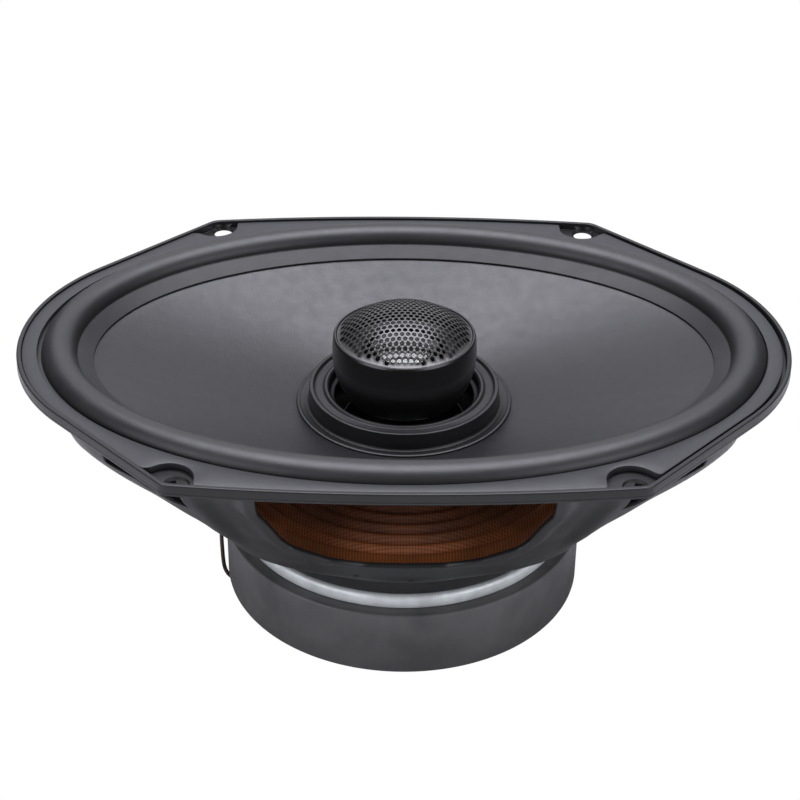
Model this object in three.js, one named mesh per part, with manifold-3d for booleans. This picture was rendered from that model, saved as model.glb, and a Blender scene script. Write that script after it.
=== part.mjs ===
// Coaxial car loudspeaker of the 6 x 9 inch class, as the pieces it comes apart into.
// Millimetres. +Z points to the listening side and X runs along the long side of the frame.
// The origin is the centre of the magnet system's rear face.

import * as THREE from "three";
import { mergeVertices } from "three/addons/utils/BufferGeometryUtils.js";
import Module from "manifold-3d";

const wasm = await Module();
wasm.setup();

// ---------------------------------------------------------------- driving dimensions

const LIP_TOP = 90; // rear face of the yoke to the top of the frame's lip

// Frame (basket). Heights here and below are taken down from the lip's top.
const END_CENTRE_X = 52.6;
const END_RADIUS = 65;
const SIDE_HALF_WIDTH = 84.6;
const SIDE_RADIUS = 548;
const DIAGONAL_ANGLE = THREE.MathUtils.degToRad(43.7);
const CORNER_FILLET = 1.9;
const LIP_WIDTH = 1.5;
const LIP_HEIGHT = 3.45;
const SHEET = 0.85;
const FLANGE_FLOOR = LIP_HEIGHT - SHEET;
const SHELF_A = 106;
const SHELF_B = 74.5;
const SCREW_X = 61.83;
const SCREW_Y = 76.3;
const SCREW_HOLE_R = 3;
const NOTCH = 1.4;
const WALL_THICKNESS = 1.5;
const RING_R = 51.85;
const RING_FOOT = 58.5;
const LEDGE = 41.2;
const LEDGE_INNER_R = 57.5;
const LEDGE_A = 66;
const LEDGE_B = 61.8;
const LEDGE_EXPONENT = 2.6;
const WINDOW_TOP = 7;
const LONG_WINDOW_FOOT = 35.5;
const LONG_WINDOW_FROM = 60.8; // degrees from the long axis
const SIDE_WINDOW_FROM = 30.7;
const SIDE_WINDOW_TO = 46.1;
const SIDE_WINDOW_FOOT_FROM = 12.6;
const SIDE_WINDOW_FOOT_TO = 22;
const LEAD_OPENING_TOP = 30;
const LEAD_OPENING_FOOT = 46.5;
const LEAD_OPENING_HALF = 10.5; // degrees either side of the terminal board

// The wall's section: depth below the lip, half-width along X, half-width along Y, and the
// exponent of the oval there.
const WALL = [
  [3, 110, 79, 2.13],
  [12, 108.7, 78.4, 2.13],
  [20, 94.6, 75, 2.4],
  [34, 76.2, 70, 2.4],
  [38.5, 71.2, 65.9, 2.5],
  [47, 61.4, 58.4, 2.8],
  [52, 54.9, 54.9, 2],
  [54, 51.2, 51.2, 2],
];

// Surround: a half roll between a flat foot on the frame and a sloping land on the cone.
const ROLL_A = 110.2;
const ROLL_B = 78.2;
const ROLL_WIDTH = 10.5;
const ROLL_CREST = 2.4; // above the lip
const FOOT_WIDTH = 3;
const FOOT_TOP = 1.85;
const LAND_WIDTH = 4.8;
const LAND_TOP = 2.4;
const LAND_FOOT = 5.35;
const SURROUND_THICKNESS = 0.65;

// Gasket
const GASKET_GAP = 0.6;
const GASKET_TOP = 0.5;
const GASKET_A = 111;
const GASKET_B = 79;
const GASKET_OFFSET_X = -0.3; // glued in by hand, slightly off centre
const POCKET_R = 7.2;

// Cone, collar and voice coil
const CONE_THICKNESS = 0.9;
const COLLAR_R = 33.4;
const COLLAR_FOOT = 22.05;
const THROAT_R = 24;
const THROAT_DEPTH = 26.3;
const NECK_DEPTH = 30;
const FORMER_R = 19.3;
const FORMER_THICKNESS = 0.4;
const FORMER_FOOT = 68.5;
const WINDING_THICKNESS = 0.8;
const WINDING_TOP = 53.6;
const WINDING_FOOT = 67.6;

// Spider
const SPIDER_R = 61.6;
const SPIDER_PITCH = 5;
const SPIDER_WAVE = 1.1;
const SPIDER_THICKNESS = 0.5;

// Magnet system
const PLATE_R = 53.2;
const PLATE_TOP = 58.55;
const PLATE_FOOT = 62.8;
const PLATE_BORE_R = 20.9;
const MAGNET_R = 56.8;
const MAGNET_BORE_R = 26;
const MAGNET_FOOT = 84.4;
const YOKE_R = 50;
const POLE_R = 18.2;
const POLE_TOP = 57.4;
const BORE_R = 4.3;
const RECESS_R = 9;
const RECESS_FLOOR = 84.5;
const RIVET_CIRCLE_R = 33;
const RIVET_R = 2;
const RIVET_HEAD_R = 3.2;
const rivetAngles = [45, 135, 225, 315];

// Tweeter on its post
const POST_R = 4;
const POST_BORE_R = 2.2;
const POST_HEAD_R = 6.5;
const HOUSING_FOOT = 20;
const HOUSING_FLOOR = 17.5;
const HOUSING_BORE_R = 19.9;
const HOUSING_TOP = -1.15;
const CUP_OUTER_R = 15.5;
const CUP_INNER_R = 13.3;
const CUP_TOP = 6.4;
const TWEETER_MAGNET_R = 11.6;
const TWEETER_MAGNET_TOP = 10.5;
const CUP_FLOOR = 14.5;
const TWEETER_POLE_R = 12;
const TWEETER_POLE_TOP = 8.4;
const TWEETER_DOME_R = 12.6;
const TWEETER_DOME_RISE = 4.4;
const TWEETER_DOME_BASE = 5.1;
const TWEETER_COIL_FOOT = 9.6;
const GRILLE_R = 19.6;
const GRILLE_RISE = 8.7;

// Wiring
const LEAD_R = 0.7;
const TINSEL_R = 0.6;
const LEAD_ANGLE = 186; // degrees round from +X, where the lead leaves the rear face
const BOARD_ANGLE = 144;
const BOARD_R = 68;
const BOARD_THICKNESS = 2;
const BOARD_WIDTH = 20;
const TAB_ASIDE = 6.3;
const BOARD_TOP = 44;
const BOARD_FOOT = 62;
const TERMINAL_RIVET_DEPTH = 51.2;
const TERMINAL_HOLE_R = 1.8;
const TAB_THICKNESS = 0.8;
const CAPACITOR_R = 5;
const CAPACITOR_LENGTH = 18;
const CAPACITOR_Y = 61.3;
const CAPACITOR_DEPTH = 53;

const AROUND = 56; // facets round the frame, surround and cone
const AROUND_ROUND = 32;
const AROUND_TWEETER = 24;
const AROUND_SMALL = 10;
const CLEARANCE = 0.05;

// ---------------------------------------------------------------- geometry helpers

const up = (depth) => LIP_TOP - depth;
const deg = THREE.MathUtils.degToRad;

// Welds a geometry into one closed surface whose faces point outwards.
function closed(geometry) {
  const bare = new THREE.BufferGeometry();
  bare.setAttribute("position", geometry.getAttribute("position"));
  if (geometry.index) bare.setIndex(geometry.index);
  const welded = mergeVertices(bare, 1e-4);
  const index = welded.index.array;
  const kept = [];
  for (let i = 0; i < index.length; i += 3) {
    const [a, b, c] = [index[i], index[i + 1], index[i + 2]];
    if (a !== b && b !== c && a !== c) kept.push(a, b, c);
  }
  const position = welded.getAttribute("position");
  const [p, q, r] = [new THREE.Vector3(), new THREE.Vector3(), new THREE.Vector3()];
  let volume = 0;
  for (let i = 0; i < kept.length; i += 3) {
    p.fromBufferAttribute(position, kept[i]);
    q.fromBufferAttribute(position, kept[i + 1]);
    r.fromBufferAttribute(position, kept[i + 2]);
    volume += p.dot(q.cross(r));
  }
  if (volume < 0) kept.reverse();
  welded.setIndex(kept);
  return welded;
}

function solidOf(geometry) {
  const welded = closed(geometry);
  return new wasm.Manifold(
    new wasm.Mesh({
      numProp: 3,
      vertProperties: welded.getAttribute("position").array,
      triVerts: new Uint32Array(welded.index.array),
    }),
  );
}

function geometryOf(solid) {
  const mesh = solid.getMesh();
  const geometry = new THREE.BufferGeometry();
  const position = new Float32Array(mesh.vertProperties);
  geometry.setAttribute("position", new THREE.BufferAttribute(position, 3));
  geometry.setIndex(new THREE.BufferAttribute(mesh.triVerts, 1));
  return geometry;
}

// Joins the first list of geometries and cuts away the second.
function carve(joined, cut = []) {
  let solid = solidOf(joined[0]);
  for (const geometry of joined.slice(1)) solid = solid.add(solidOf(geometry));
  for (const geometry of cut) solid = solid.subtract(solidOf(geometry));
  return geometryOf(solid);
}

// Points round a superellipse; exponent 2 is an ellipse.
function oval(a, b, count = AROUND, exponent = 2) {
  const power = 2 / exponent;
  return Array.from({ length: count }, (_, i) => {
    const angle = (2 * Math.PI * i) / count;
    const [c, s] = [Math.cos(angle), Math.sin(angle)];
    return new THREE.Vector2(
      a * Math.sign(c) * Math.abs(c) ** power,
      b * Math.sign(s) * Math.abs(s) ** power,
    );
  });
}

// Skins a closed chain of rings, each given as a half-width, a half-height, a depth and an
// exponent.
function ovalLoft(sections) {
  const positions = [];
  for (const [a, b, depth, exponent = 2] of sections) {
    for (const point of oval(a, b, AROUND, exponent)) {
      positions.push(point.x, point.y, up(depth));
    }
  }
  const index = [];
  sections.forEach((_, ring) => {
    const next = (ring + 1) % sections.length;
    for (let i = 0; i < AROUND; i++) {
      const j = (i + 1) % AROUND;
      const [p, q] = [ring * AROUND + i, ring * AROUND + j];
      const [r, s] = [next * AROUND + i, next * AROUND + j];
      index.push(p, q, s, p, s, r);
    }
  });
  const geometry = new THREE.BufferGeometry();
  geometry.setAttribute("position", new THREE.Float32BufferAttribute(positions, 3));
  geometry.setIndex(index);
  return closed(geometry);
}

// Turns a closed profile of [radius, depth] pairs round Z.
function turned(profile, segments = AROUND_ROUND) {
  const points = profile.map(([r, depth]) => new THREE.Vector2(r, up(depth)));
  if (profile[0][0] > 0) points.push(points[0].clone());
  const geometry = new THREE.LatheGeometry(points, segments);
  geometry.rotateX(Math.PI / 2);
  return closed(geometry);
}

// A flat plate between two depths.
function plate(outline, top, foot, holes = []) {
  const shape = new THREE.Shape(outline);
  shape.holes = holes.map((points) => new THREE.Path(points));
  const geometry = new THREE.ExtrudeGeometry(shape, {
    depth: foot - top,
    bevelEnabled: false,
  });
  geometry.translate(0, 0, up(foot));
  return closed(geometry);
}

// A round wire swept along a smooth path.
function tube(points, radius, steps) {
  const shape = new THREE.Shape(oval(radius, radius, 5));
  const path = new THREE.CatmullRomCurve3(points);
  return closed(
    new THREE.ExtrudeGeometry(shape, { steps, extrudePath: path, bevelEnabled: false }),
  );
}

function block(width, height, thickness) {
  return closed(new THREE.BoxGeometry(width, height, thickness));
}

// A point given as radius, angle in degrees and depth.
function polar(radius, angle, depth) {
  return new THREE.Vector3(
    radius * Math.cos(deg(angle)),
    radius * Math.sin(deg(angle)),
    up(depth),
  );
}

// ---------------------------------------------------------------- the frame's outline

// One quarter of the flange, from the tip on +X to the middle of the long side on +Y.
function flangeQuarter(inset) {
  const normal = new THREE.Vector2(Math.cos(DIAGONAL_ANGLE), Math.sin(DIAGONAL_ANGLE));
  const along = new THREE.Vector2(-normal.y, normal.x);
  const sideCentre = new THREE.Vector2(0, SIDE_HALF_WIDTH - SIDE_RADIUS);
  const sideRadius = SIDE_RADIUS - inset;
  const endRadius = END_RADIUS - inset;
  const reach = END_CENTRE_X * normal.x + endRadius - sideCentre.dot(normal);
  const corner = sideCentre
    .clone()
    .addScaledVector(normal, reach)
    .addScaledVector(along, Math.sqrt(sideRadius ** 2 - reach ** 2));
  const points = [];
  const endSteps = 6;
  for (let i = 0; i <= endSteps; i++) {
    const angle = (DIAGONAL_ANGLE * i) / endSteps;
    points.push(
      new THREE.Vector2(
        END_CENTRE_X + endRadius * Math.cos(angle),
        endRadius * Math.sin(angle),
      ),
    );
  }
  const sideAngle = Math.asin(corner.x / sideRadius);
  const sideStart = sideAngle - CORNER_FILLET / sideRadius;
  const onSide = (angle) =>
    new THREE.Vector2(
      sideRadius * Math.sin(angle),
      sideCentre.y + sideRadius * Math.cos(angle),
    );
  const fillet = new THREE.QuadraticBezierCurve(
    corner.clone().addScaledVector(along, -CORNER_FILLET),
    corner,
    onSide(sideStart),
  );
  points.push(...fillet.getPoints(3));
  const sideSteps = 4;
  for (let i = 1; i <= sideSteps; i++) {
    points.push(onSide(sideStart * (1 - i / sideSteps)));
  }
  return points;
}

function flangeOutline(inset) {
  const quarter = flangeQuarter(inset);
  const flip = (points, sx, sy) =>
    points.map((point) => new THREE.Vector2(point.x * sx, point.y * sy));
  const back = quarter.slice(0, -1).reverse();
  const inner = quarter.slice(1);
  return [
    ...quarter,
    ...flip(back, -1, 1),
    ...flip(inner, -1, -1),
    ...flip(back.slice(0, -1), 1, -1),
  ];
}

const eachCorner = (make) =>
  [1, -1].flatMap((sx) => [1, -1].map((sy) => make(sx * SCREW_X, sy * SCREW_Y)));

// ---------------------------------------------------------------- frame

// A wedge between two directions that opens one window of the wall. Its foot may slope from
// one direction to the other.
function windowCutter(fromAngle, toAngle, fromFoot, toFoot = fromFoot, top = WINDOW_TOP) {
  const near = 63.5;
  const far = 150;
  const ray = (radius, angle) =>
    new THREE.Vector2(radius * Math.cos(deg(angle)), radius * Math.sin(deg(angle)));
  const corners = [
    ray(near, fromAngle),
    ray(far, fromAngle),
    ray(far, toAngle),
    ray(near, toAngle),
  ];
  const wedge = plate(corners, top, fromFoot);
  const positions = wedge.getAttribute("position");
  const middle = deg((fromAngle + toAngle) / 2);
  const [alongX, alongY] = [-Math.sin(middle), Math.cos(middle)];
  for (let i = 0; i < positions.count; i++) {
    const aside = positions.getX(i) * alongX + positions.getY(i) * alongY;
    const atFoot = positions.getZ(i) < up((top + fromFoot) / 2);
    if (atFoot && aside > 0) positions.setZ(i, up(toFoot));
  }
  return wedge;
}

// Opens the whole long side between two legs.
function longWindowCutter(side) {
  const near = 40;
  const far = 150;
  const halfAngle = deg(LONG_WINDOW_FROM);
  const corners = [near, far, far, near].map((radius, i) => {
    const across = (i < 2 ? 1 : -1) * side;
    return new THREE.Vector2(
      across * radius * Math.cos(halfAngle),
      side * radius * Math.sin(halfAngle),
    );
  });
  return plate(corners, WINDOW_TOP, LONG_WINDOW_FOOT);
}

// The four small windows beside the corner legs, as [from, to, foot at from, foot at to].
const sideWindows = [
  [SIDE_WINDOW_FROM, SIDE_WINDOW_TO, SIDE_WINDOW_FOOT_FROM, SIDE_WINDOW_FOOT_TO],
  [180 - SIDE_WINDOW_TO, 180 - SIDE_WINDOW_FROM, SIDE_WINDOW_FOOT_TO, SIDE_WINDOW_FOOT_FROM],
  [180 + SIDE_WINDOW_FROM, 180 + SIDE_WINDOW_TO, SIDE_WINDOW_FOOT_FROM, SIDE_WINDOW_FOOT_TO],
  [360 - SIDE_WINDOW_TO, 360 - SIDE_WINDOW_FROM, SIDE_WINDOW_FOOT_TO, SIDE_WINDOW_FOOT_FROM],
];

function basket() {
  const flange = plate(flangeOutline(0), FLANGE_FLOOR, LIP_HEIGHT, [
    oval(SHELF_A, SHELF_B),
  ]);
  const lip = plate(flangeOutline(0), 0, LIP_HEIGHT, [flangeOutline(LIP_WIDTH)]);
  const wallAt = (inward) =>
    WALL.map(([depth, a, b, exponent]) => [a - inward, b - inward, depth, exponent]);
  const wall = ovalLoft([...wallAt(0), ...wallAt(WALL_THICKNESS).reverse()]);
  const ring = turned([
    [RING_R, RING_FOOT],
    [RING_R, 52.3],
    [RING_R - WALL_THICKNESS, 52.3],
    [RING_R - WALL_THICKNESS, RING_FOOT - WALL_THICKNESS],
    [MAGNET_BORE_R, RING_FOOT - WALL_THICKNESS],
    [MAGNET_BORE_R, RING_FOOT],
  ]);
  const ledgeOutline = oval(LEDGE_A, LEDGE_B, AROUND, LEDGE_EXPONENT);
  const spiderLedge = plate(ledgeOutline, LEDGE, LEDGE + WALL_THICKNESS, [
    oval(LEDGE_INNER_R, LEDGE_INNER_R),
  ]);
  const earThickness = 1.2;
  const earWidth = 12;
  const earHeight = 8;
  const lugFrom = RING_R - WALL_THICKNESS;
  const lugTo = BOARD_R - 2 * CLEARANCE;
  const lugDepth = 55.7;
  const lug = block(lugTo - lugFrom, earWidth, WALL_THICKNESS);
  lug.translate((lugTo + lugFrom) / 2, 0, up(lugDepth));
  const ear = block(earThickness, earWidth, earHeight);
  ear.translate(lugTo - earThickness / 2, 0, up(lugDepth + WALL_THICKNESS / 2 - earHeight / 2));
  for (const piece of [lug, ear]) piece.rotateZ(deg(BOARD_ANGLE));
  const windows = [
    longWindowCutter(1),
    longWindowCutter(-1),
    ...sideWindows.map(([from, to, fromFoot, toFoot]) => windowCutter(from, to, fromFoot, toFoot)),
    windowCutter(
      BOARD_ANGLE - LEAD_OPENING_HALF,
      BOARD_ANGLE + LEAD_OPENING_HALF,
      LEAD_OPENING_FOOT,
      LEAD_OPENING_FOOT,
      LEAD_OPENING_TOP,
    ),
  ];
  const screwHoles = eachCorner((x, y) => {
    const hole = new THREE.CylinderGeometry(SCREW_HOLE_R, SCREW_HOLE_R, 4, 14);
    hole.rotateX(Math.PI / 2);
    hole.translate(x, y, up(LIP_HEIGHT));
    return hole;
  });
  const notches = [1, -1].map((side) => {
    const cutter = block(2 * NOTCH, 2 * NOTCH, 4 * LIP_HEIGHT);
    cutter.rotateZ(Math.PI / 4);
    cutter.translate(side * (END_CENTRE_X + END_RADIUS + 0.9 * NOTCH), 0, up(0));
    return cutter;
  });
  const rivetHoles = rivetAngles.map((angle) => {
    const hole = turned([
      [0, RING_FOOT - 4],
      [RIVET_R + 0.2, RING_FOOT - 4],
      [RIVET_R + 0.2, RING_FOOT + 1],
      [0, RING_FOOT + 1],
    ], AROUND_SMALL);
    return moveToCircle(hole, RIVET_CIRCLE_R, angle);
  });
  const terminalHole = new THREE.CylinderGeometry(TERMINAL_HOLE_R, TERMINAL_HOLE_R, 6, 14);
  terminalHole.rotateZ(Math.PI / 2);
  terminalHole.translate(BOARD_R, 0, up(TERMINAL_RIVET_DEPTH));
  terminalHole.rotateZ(deg(BOARD_ANGLE));
  return carve(
    [flange, lip, wall, ring, spiderLedge, lug, ear],
    [...windows, ...screwHoles, ...notches, ...rivetHoles, terminalHole],
  );
}

function moveToCircle(geometry, radius, angle) {
  geometry.translate(radius * Math.cos(deg(angle)), radius * Math.sin(deg(angle)), 0);
  return geometry;
}

function frameRivet(angle) {
  const headTop = RING_FOOT - WALL_THICKNESS - 0.9;
  const rivet = turned([
    [0, headTop],
    [RIVET_HEAD_R - 0.8, headTop],
    [RIVET_HEAD_R, RING_FOOT - WALL_THICKNESS - CLEARANCE],
    [RIVET_R, RING_FOOT - WALL_THICKNESS - CLEARANCE],
    [RIVET_R, PLATE_FOOT - 0.3],
    [0, PLATE_FOOT - 0.3],
  ], AROUND_SMALL);
  return moveToCircle(rivet, RIVET_CIRCLE_R, angle);
}

function gasketRing() {
  const outline = flangeOutline(LIP_WIDTH + GASKET_GAP);
  const body = plate(outline, GASKET_TOP, FLANGE_FLOOR - CLEARANCE, [
    oval(GASKET_A, GASKET_B),
  ]);
  const footRoom = plate(
    oval(ROLL_A + FOOT_WIDTH + 0.4, ROLL_B + FOOT_WIDTH + 0.4),
    FOOT_TOP - 0.1,
    LIP_HEIGHT,
  );
  const pockets = eachCorner((x, y) => {
    const [sx, sy] = [Math.sign(x), Math.sign(y)];
    const hole = new THREE.CylinderGeometry(POCKET_R, POCKET_R, 8, 16);
    hole.rotateX(Math.PI / 2);
    hole.translate(x, y, up(1));
    const mouth = block(2 * POCKET_R, 16, 8);
    mouth.translate(x, y + sy * 8, up(1));
    const flare = block(12, 12, 8);
    flare.rotateZ(sx * sy * (Math.PI / 2 - DIAGONAL_ANGLE));
    flare.translate(x + sx * 7.2, y + sy * 5.6, up(1));
    return carve([hole, mouth, flare]);
  });
  const geometry = carve([body], [footRoom, ...pockets]);
  geometry.translate(GASKET_OFFSET_X, 0, 0);
  return geometry;
}

// ---------------------------------------------------------------- moving system

function surround() {
  const at = (inward, depth) => [ROLL_A - inward, ROLL_B - inward, depth];
  const half = ROLL_WIDTH / 2;
  const rollSteps = 6;
  const roll = (width, rise, base) =>
    Array.from({ length: rollSteps + 1 }, (_, i) => {
      const angle = (Math.PI * i) / rollSteps;
      const slope = (LAND_TOP - FOOT_TOP) * (i / rollSteps);
      return at(half - width * Math.cos(angle), base + slope - rise * Math.sin(angle));
    });
  const t = SURROUND_THICKNESS;
  const rise = ROLL_CREST + (FOOT_TOP + LAND_TOP) / 2;
  const top = [
    at(-FOOT_WIDTH, FOOT_TOP),
    ...roll(half, rise, FOOT_TOP),
    at(ROLL_WIDTH + LAND_WIDTH, LAND_FOOT),
  ];
  const bottom = [
    at(ROLL_WIDTH + LAND_WIDTH, LAND_FOOT + t),
    ...roll(half - t, rise - t, FOOT_TOP + t).reverse(),
    at(-FOOT_WIDTH, FOOT_TOP + t),
  ];
  return ovalLoft([...top, ...bottom]);
}

// The cone runs from an oval rim under the surround's land to a round throat.
function cone() {
  const rim = ROLL_WIDTH + LAND_WIDTH;
  const outer = ROLL_WIDTH + 0.6;
  const glueLine = 0.1;
  const share = (outer - ROLL_WIDTH + SURROUND_THICKNESS) / (LAND_WIDTH + SURROUND_THICKNESS);
  const drop = THREE.MathUtils.lerp(LAND_TOP, LAND_FOOT, share);
  const underLand = SURROUND_THICKNESS + glueLine;
  const rings = [
    [ROLL_A - outer, ROLL_B - outer, drop + underLand],
    [ROLL_A - rim, ROLL_B - rim, LAND_FOOT + underLand],
    [COLLAR_R, COLLAR_R, COLLAR_FOOT + CLEARANCE],
    [THROAT_R, THROAT_R, THROAT_DEPTH],
    [FORMER_R + CLEARANCE, FORMER_R + CLEARANCE, NECK_DEPTH],
  ];
  const under = rings.map(([a, b, depth]) => [a, b, depth + CONE_THICKNESS]).reverse();
  return ovalLoft([...rings, ...under]);
}

// A thin shell: its rim on the cone, a wall up to the lip, and a grooved floor inside the lip
// that ends in a short skirt.
function coneCollar() {
  const lipDepth = 16.6;
  const floorDepth = lipDepth + 1.15;
  return turned([
    [COLLAR_R, COLLAR_FOOT],
    [COLLAR_R - 0.1, COLLAR_FOOT - 0.6],
    [32.6, COLLAR_FOOT - 0.6],
    [30.2, COLLAR_FOOT + 0.2],
    [29.6, COLLAR_FOOT - 0.4],
    [29.4, lipDepth + 0.3],
    [29.1, lipDepth],
    [28.2, lipDepth],
    [27.3, floorDepth],
    [24.8, lipDepth + 0.3],
    [24, lipDepth + 0.2],
    [23.3, lipDepth + 0.8],
    [22.9, 19.7],
    [21.7, 20.2],
    [21.7, 21.4],
    [23.8, 21.3],
    [24.4, 19],
    [27.8, floorDepth + 1.5],
    [28.2, 24.2],
    [30.2, COLLAR_FOOT + 1.3],
  ]);
}

function voiceCoilFormer() {
  const inner = FORMER_R - FORMER_THICKNESS;
  return turned([
    [FORMER_R, NECK_DEPTH - 0.8],
    [FORMER_R, FORMER_FOOT],
    [inner, FORMER_FOOT],
    [inner, NECK_DEPTH - 0.8],
  ]);
}

function voiceCoilWinding() {
  const inner = FORMER_R + CLEARANCE;
  return turned([
    [inner, WINDING_TOP],
    [FORMER_R + WINDING_THICKNESS, WINDING_TOP],
    [FORMER_R + WINDING_THICKNESS, WINDING_FOOT],
    [inner, WINDING_FOOT],
  ]);
}

function spider() {
  const flatDepth = LEDGE - CLEARANCE - SPIDER_THICKNESS;
  const innerR = FORMER_R + 0.25;
  const waveFrom = innerR + 1.5;
  const waveTo = LEDGE_INNER_R - 0.5;
  const waves = Math.round((waveTo - waveFrom) / SPIDER_PITCH);
  const steps = waves * 4;
  const wave = Array.from({ length: steps + 1 }, (_, i) => [
    waveFrom + ((waveTo - waveFrom) * i) / steps,
    flatDepth - SPIDER_WAVE * Math.sin((2 * Math.PI * waves * i) / steps),
  ]);
  const top = [[innerR, flatDepth], ...wave, [SPIDER_R, flatDepth]];
  const bottom = top.map(([r, depth]) => [r, depth + SPIDER_THICKNESS]).reverse();
  return turned([...top, ...bottom], 24);
}

// ---------------------------------------------------------------- magnet system

function topPlate() {
  const body = turned([
    [PLATE_BORE_R, PLATE_TOP],
    [PLATE_R - 1.5, PLATE_TOP],
    [PLATE_R - 0.4, PLATE_TOP + 0.4],
    [PLATE_R, PLATE_TOP + 1.5],
    [PLATE_R, PLATE_FOOT],
    [PLATE_BORE_R, PLATE_FOOT],
  ]);
  const holes = rivetAngles.map((angle) => {
    const hole = turned([
      [0, PLATE_TOP - 1],
      [RIVET_R + 0.2, PLATE_TOP - 1],
      [RIVET_R + 0.2, PLATE_FOOT + 1],
      [0, PLATE_FOOT + 1],
    ], AROUND_SMALL);
    return moveToCircle(hole, RIVET_CIRCLE_R, angle);
  });
  return carve([body], holes);
}

function magnet() {
  const chamfer = 0.8;
  const top = PLATE_FOOT + CLEARANCE;
  return turned([
    [MAGNET_BORE_R, top],
    [MAGNET_R - chamfer, top],
    [MAGNET_R, top + chamfer],
    [MAGNET_R, MAGNET_FOOT - chamfer],
    [MAGNET_R - chamfer, MAGNET_FOOT],
    [MAGNET_BORE_R, MAGNET_FOOT],
  ]);
}

// Back plate and pole in one piece, with a recess for the nut and a groove for the lead.
function yoke() {
  const plateTop = MAGNET_FOOT + CLEARANCE;
  const body = turned([
    [RECESS_R, LIP_TOP],
    [YOKE_R - 1.2, LIP_TOP],
    [YOKE_R, LIP_TOP - 1.2],
    [YOKE_R, plateTop + 0.8],
    [YOKE_R - 0.8, plateTop],
    [POLE_R, plateTop],
    [POLE_R, POLE_TOP + 0.5],
    [POLE_R - 0.5, POLE_TOP],
    [BORE_R, POLE_TOP],
    [BORE_R, RECESS_FLOOR],
    [RECESS_R, RECESS_FLOOR],
  ]);
  const grooveDepth = 2.2;
  const grooveLength = YOKE_R;
  const groove = block(grooveLength, 2.6, 2 * grooveDepth);
  groove.translate(grooveLength / 2 + 5, 0, 0);
  groove.rotateZ(deg(LEAD_ANGLE));
  return carve([body], [groove]);
}

// ---------------------------------------------------------------- tweeter

// A hollow bolt: its head clamps the housing, and the tweeter's lead runs down its bore.
function tweeterPost() {
  return turned([
    [POST_BORE_R, HOUSING_FLOOR - 1.3],
    [POST_HEAD_R, HOUSING_FLOOR - 1.3],
    [POST_HEAD_R, HOUSING_FLOOR - CLEARANCE],
    [POST_R, HOUSING_FLOOR - CLEARANCE],
    [POST_R, RECESS_FLOOR + 2.5],
    [POST_BORE_R, RECESS_FLOOR + 2.5],
  ], AROUND_TWEETER);
}

function postSleeve() {
  return turned([
    [BORE_R, HOUSING_FOOT + CLEARANCE],
    [7.6, HOUSING_FOOT + CLEARANCE],
    [6.8, HOUSING_FOOT + 3],
    [6.8, POLE_TOP - 3],
    [8.4, POLE_TOP - CLEARANCE],
    [BORE_R, POLE_TOP - CLEARANCE],
  ], AROUND_TWEETER);
}

function postNut() {
  const acrossFlats = 12;
  const corner = acrossFlats / Math.sqrt(3);
  const top = RECESS_FLOOR + CLEARANCE;
  return plate(oval(corner, corner, 6), top, top + 2, [
    oval(POST_R + 0.1, POST_R + 0.1, 18),
  ]);
}

function tweeterHousing() {
  return turned([
    [BORE_R, HOUSING_FOOT],
    [16.6, HOUSING_FOOT],
    [18, HOUSING_FOOT - 0.9],
    [20.2, 14.6],
    [21.7, 9.8],
    [22.15, 7.4],
    [22.2, 4],
    [21.9, 1],
    [21.3, -0.8],
    [20.9, HOUSING_TOP],
    [HOUSING_BORE_R, HOUSING_TOP],
    [HOUSING_BORE_R, 13],
    [16.4, HOUSING_FLOOR],
    [BORE_R, HOUSING_FLOOR],
  ]);
}

function tweeterCup() {
  const foot = CUP_FLOOR + 1.5;
  return turned([
    [0, CUP_FLOOR],
    [CUP_INNER_R, CUP_FLOOR],
    [CUP_INNER_R, CUP_TOP],
    [CUP_OUTER_R, CUP_TOP],
    [CUP_OUTER_R, foot - 0.8],
    [CUP_OUTER_R - 0.8, foot],
    [0, foot],
  ], AROUND_TWEETER);
}

function disc(radius, top, foot) {
  return turned([
    [0, top],
    [radius, top],
    [radius, foot],
    [0, foot],
  ], AROUND_TWEETER);
}

function tweeterFaceRing() {
  const inner = CUP_INNER_R + 0.1;
  const outer = HOUSING_BORE_R - 0.2;
  const foot = CUP_TOP - CLEARANCE;
  const seat = TWEETER_DOME_BASE + 2 * CLEARANCE;
  return turned([
    [inner, foot],
    [inner, seat],
    [16.6, seat],
    [17.4, seat - 0.6],
    [outer - 0.1, seat - 1.2],
    [outer, seat - 0.6],
    [outer, foot],
  ], AROUND_TWEETER);
}

function tweeterSuspension() {
  const thickness = 0.35;
  const half = 1.35;
  const rise = 1.1;
  const outer = 16.4;
  const middle = TWEETER_DOME_R + 0.25 + half;
  const steps = 4;
  const base = TWEETER_DOME_BASE;
  const roll = (radius, height) =>
    Array.from({ length: steps + 1 }, (_, i) => {
      const angle = (Math.PI * i) / steps;
      return [middle - radius * Math.cos(angle), base - height * Math.sin(angle)];
    });
  return turned([
    ...roll(half, rise),
    [outer, base],
    [outer, base + CLEARANCE],
    ...roll(half - thickness, rise - thickness).reverse(),
  ], AROUND_TWEETER);
}

function tweeterDome() {
  const thickness = 0.4;
  const steps = 5;
  const cap = (radius, height) =>
    Array.from({ length: steps + 1 }, (_, i) => {
      const angle = (Math.PI / 2) * (i / steps);
      return [radius * Math.sin(angle), TWEETER_DOME_BASE - height * Math.cos(angle)];
    });
  const outer = cap(TWEETER_DOME_R, TWEETER_DOME_RISE);
  const inner = cap(TWEETER_DOME_R - thickness, TWEETER_DOME_RISE - thickness).reverse();
  return turned([...outer, ...inner], AROUND_TWEETER);
}

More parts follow.
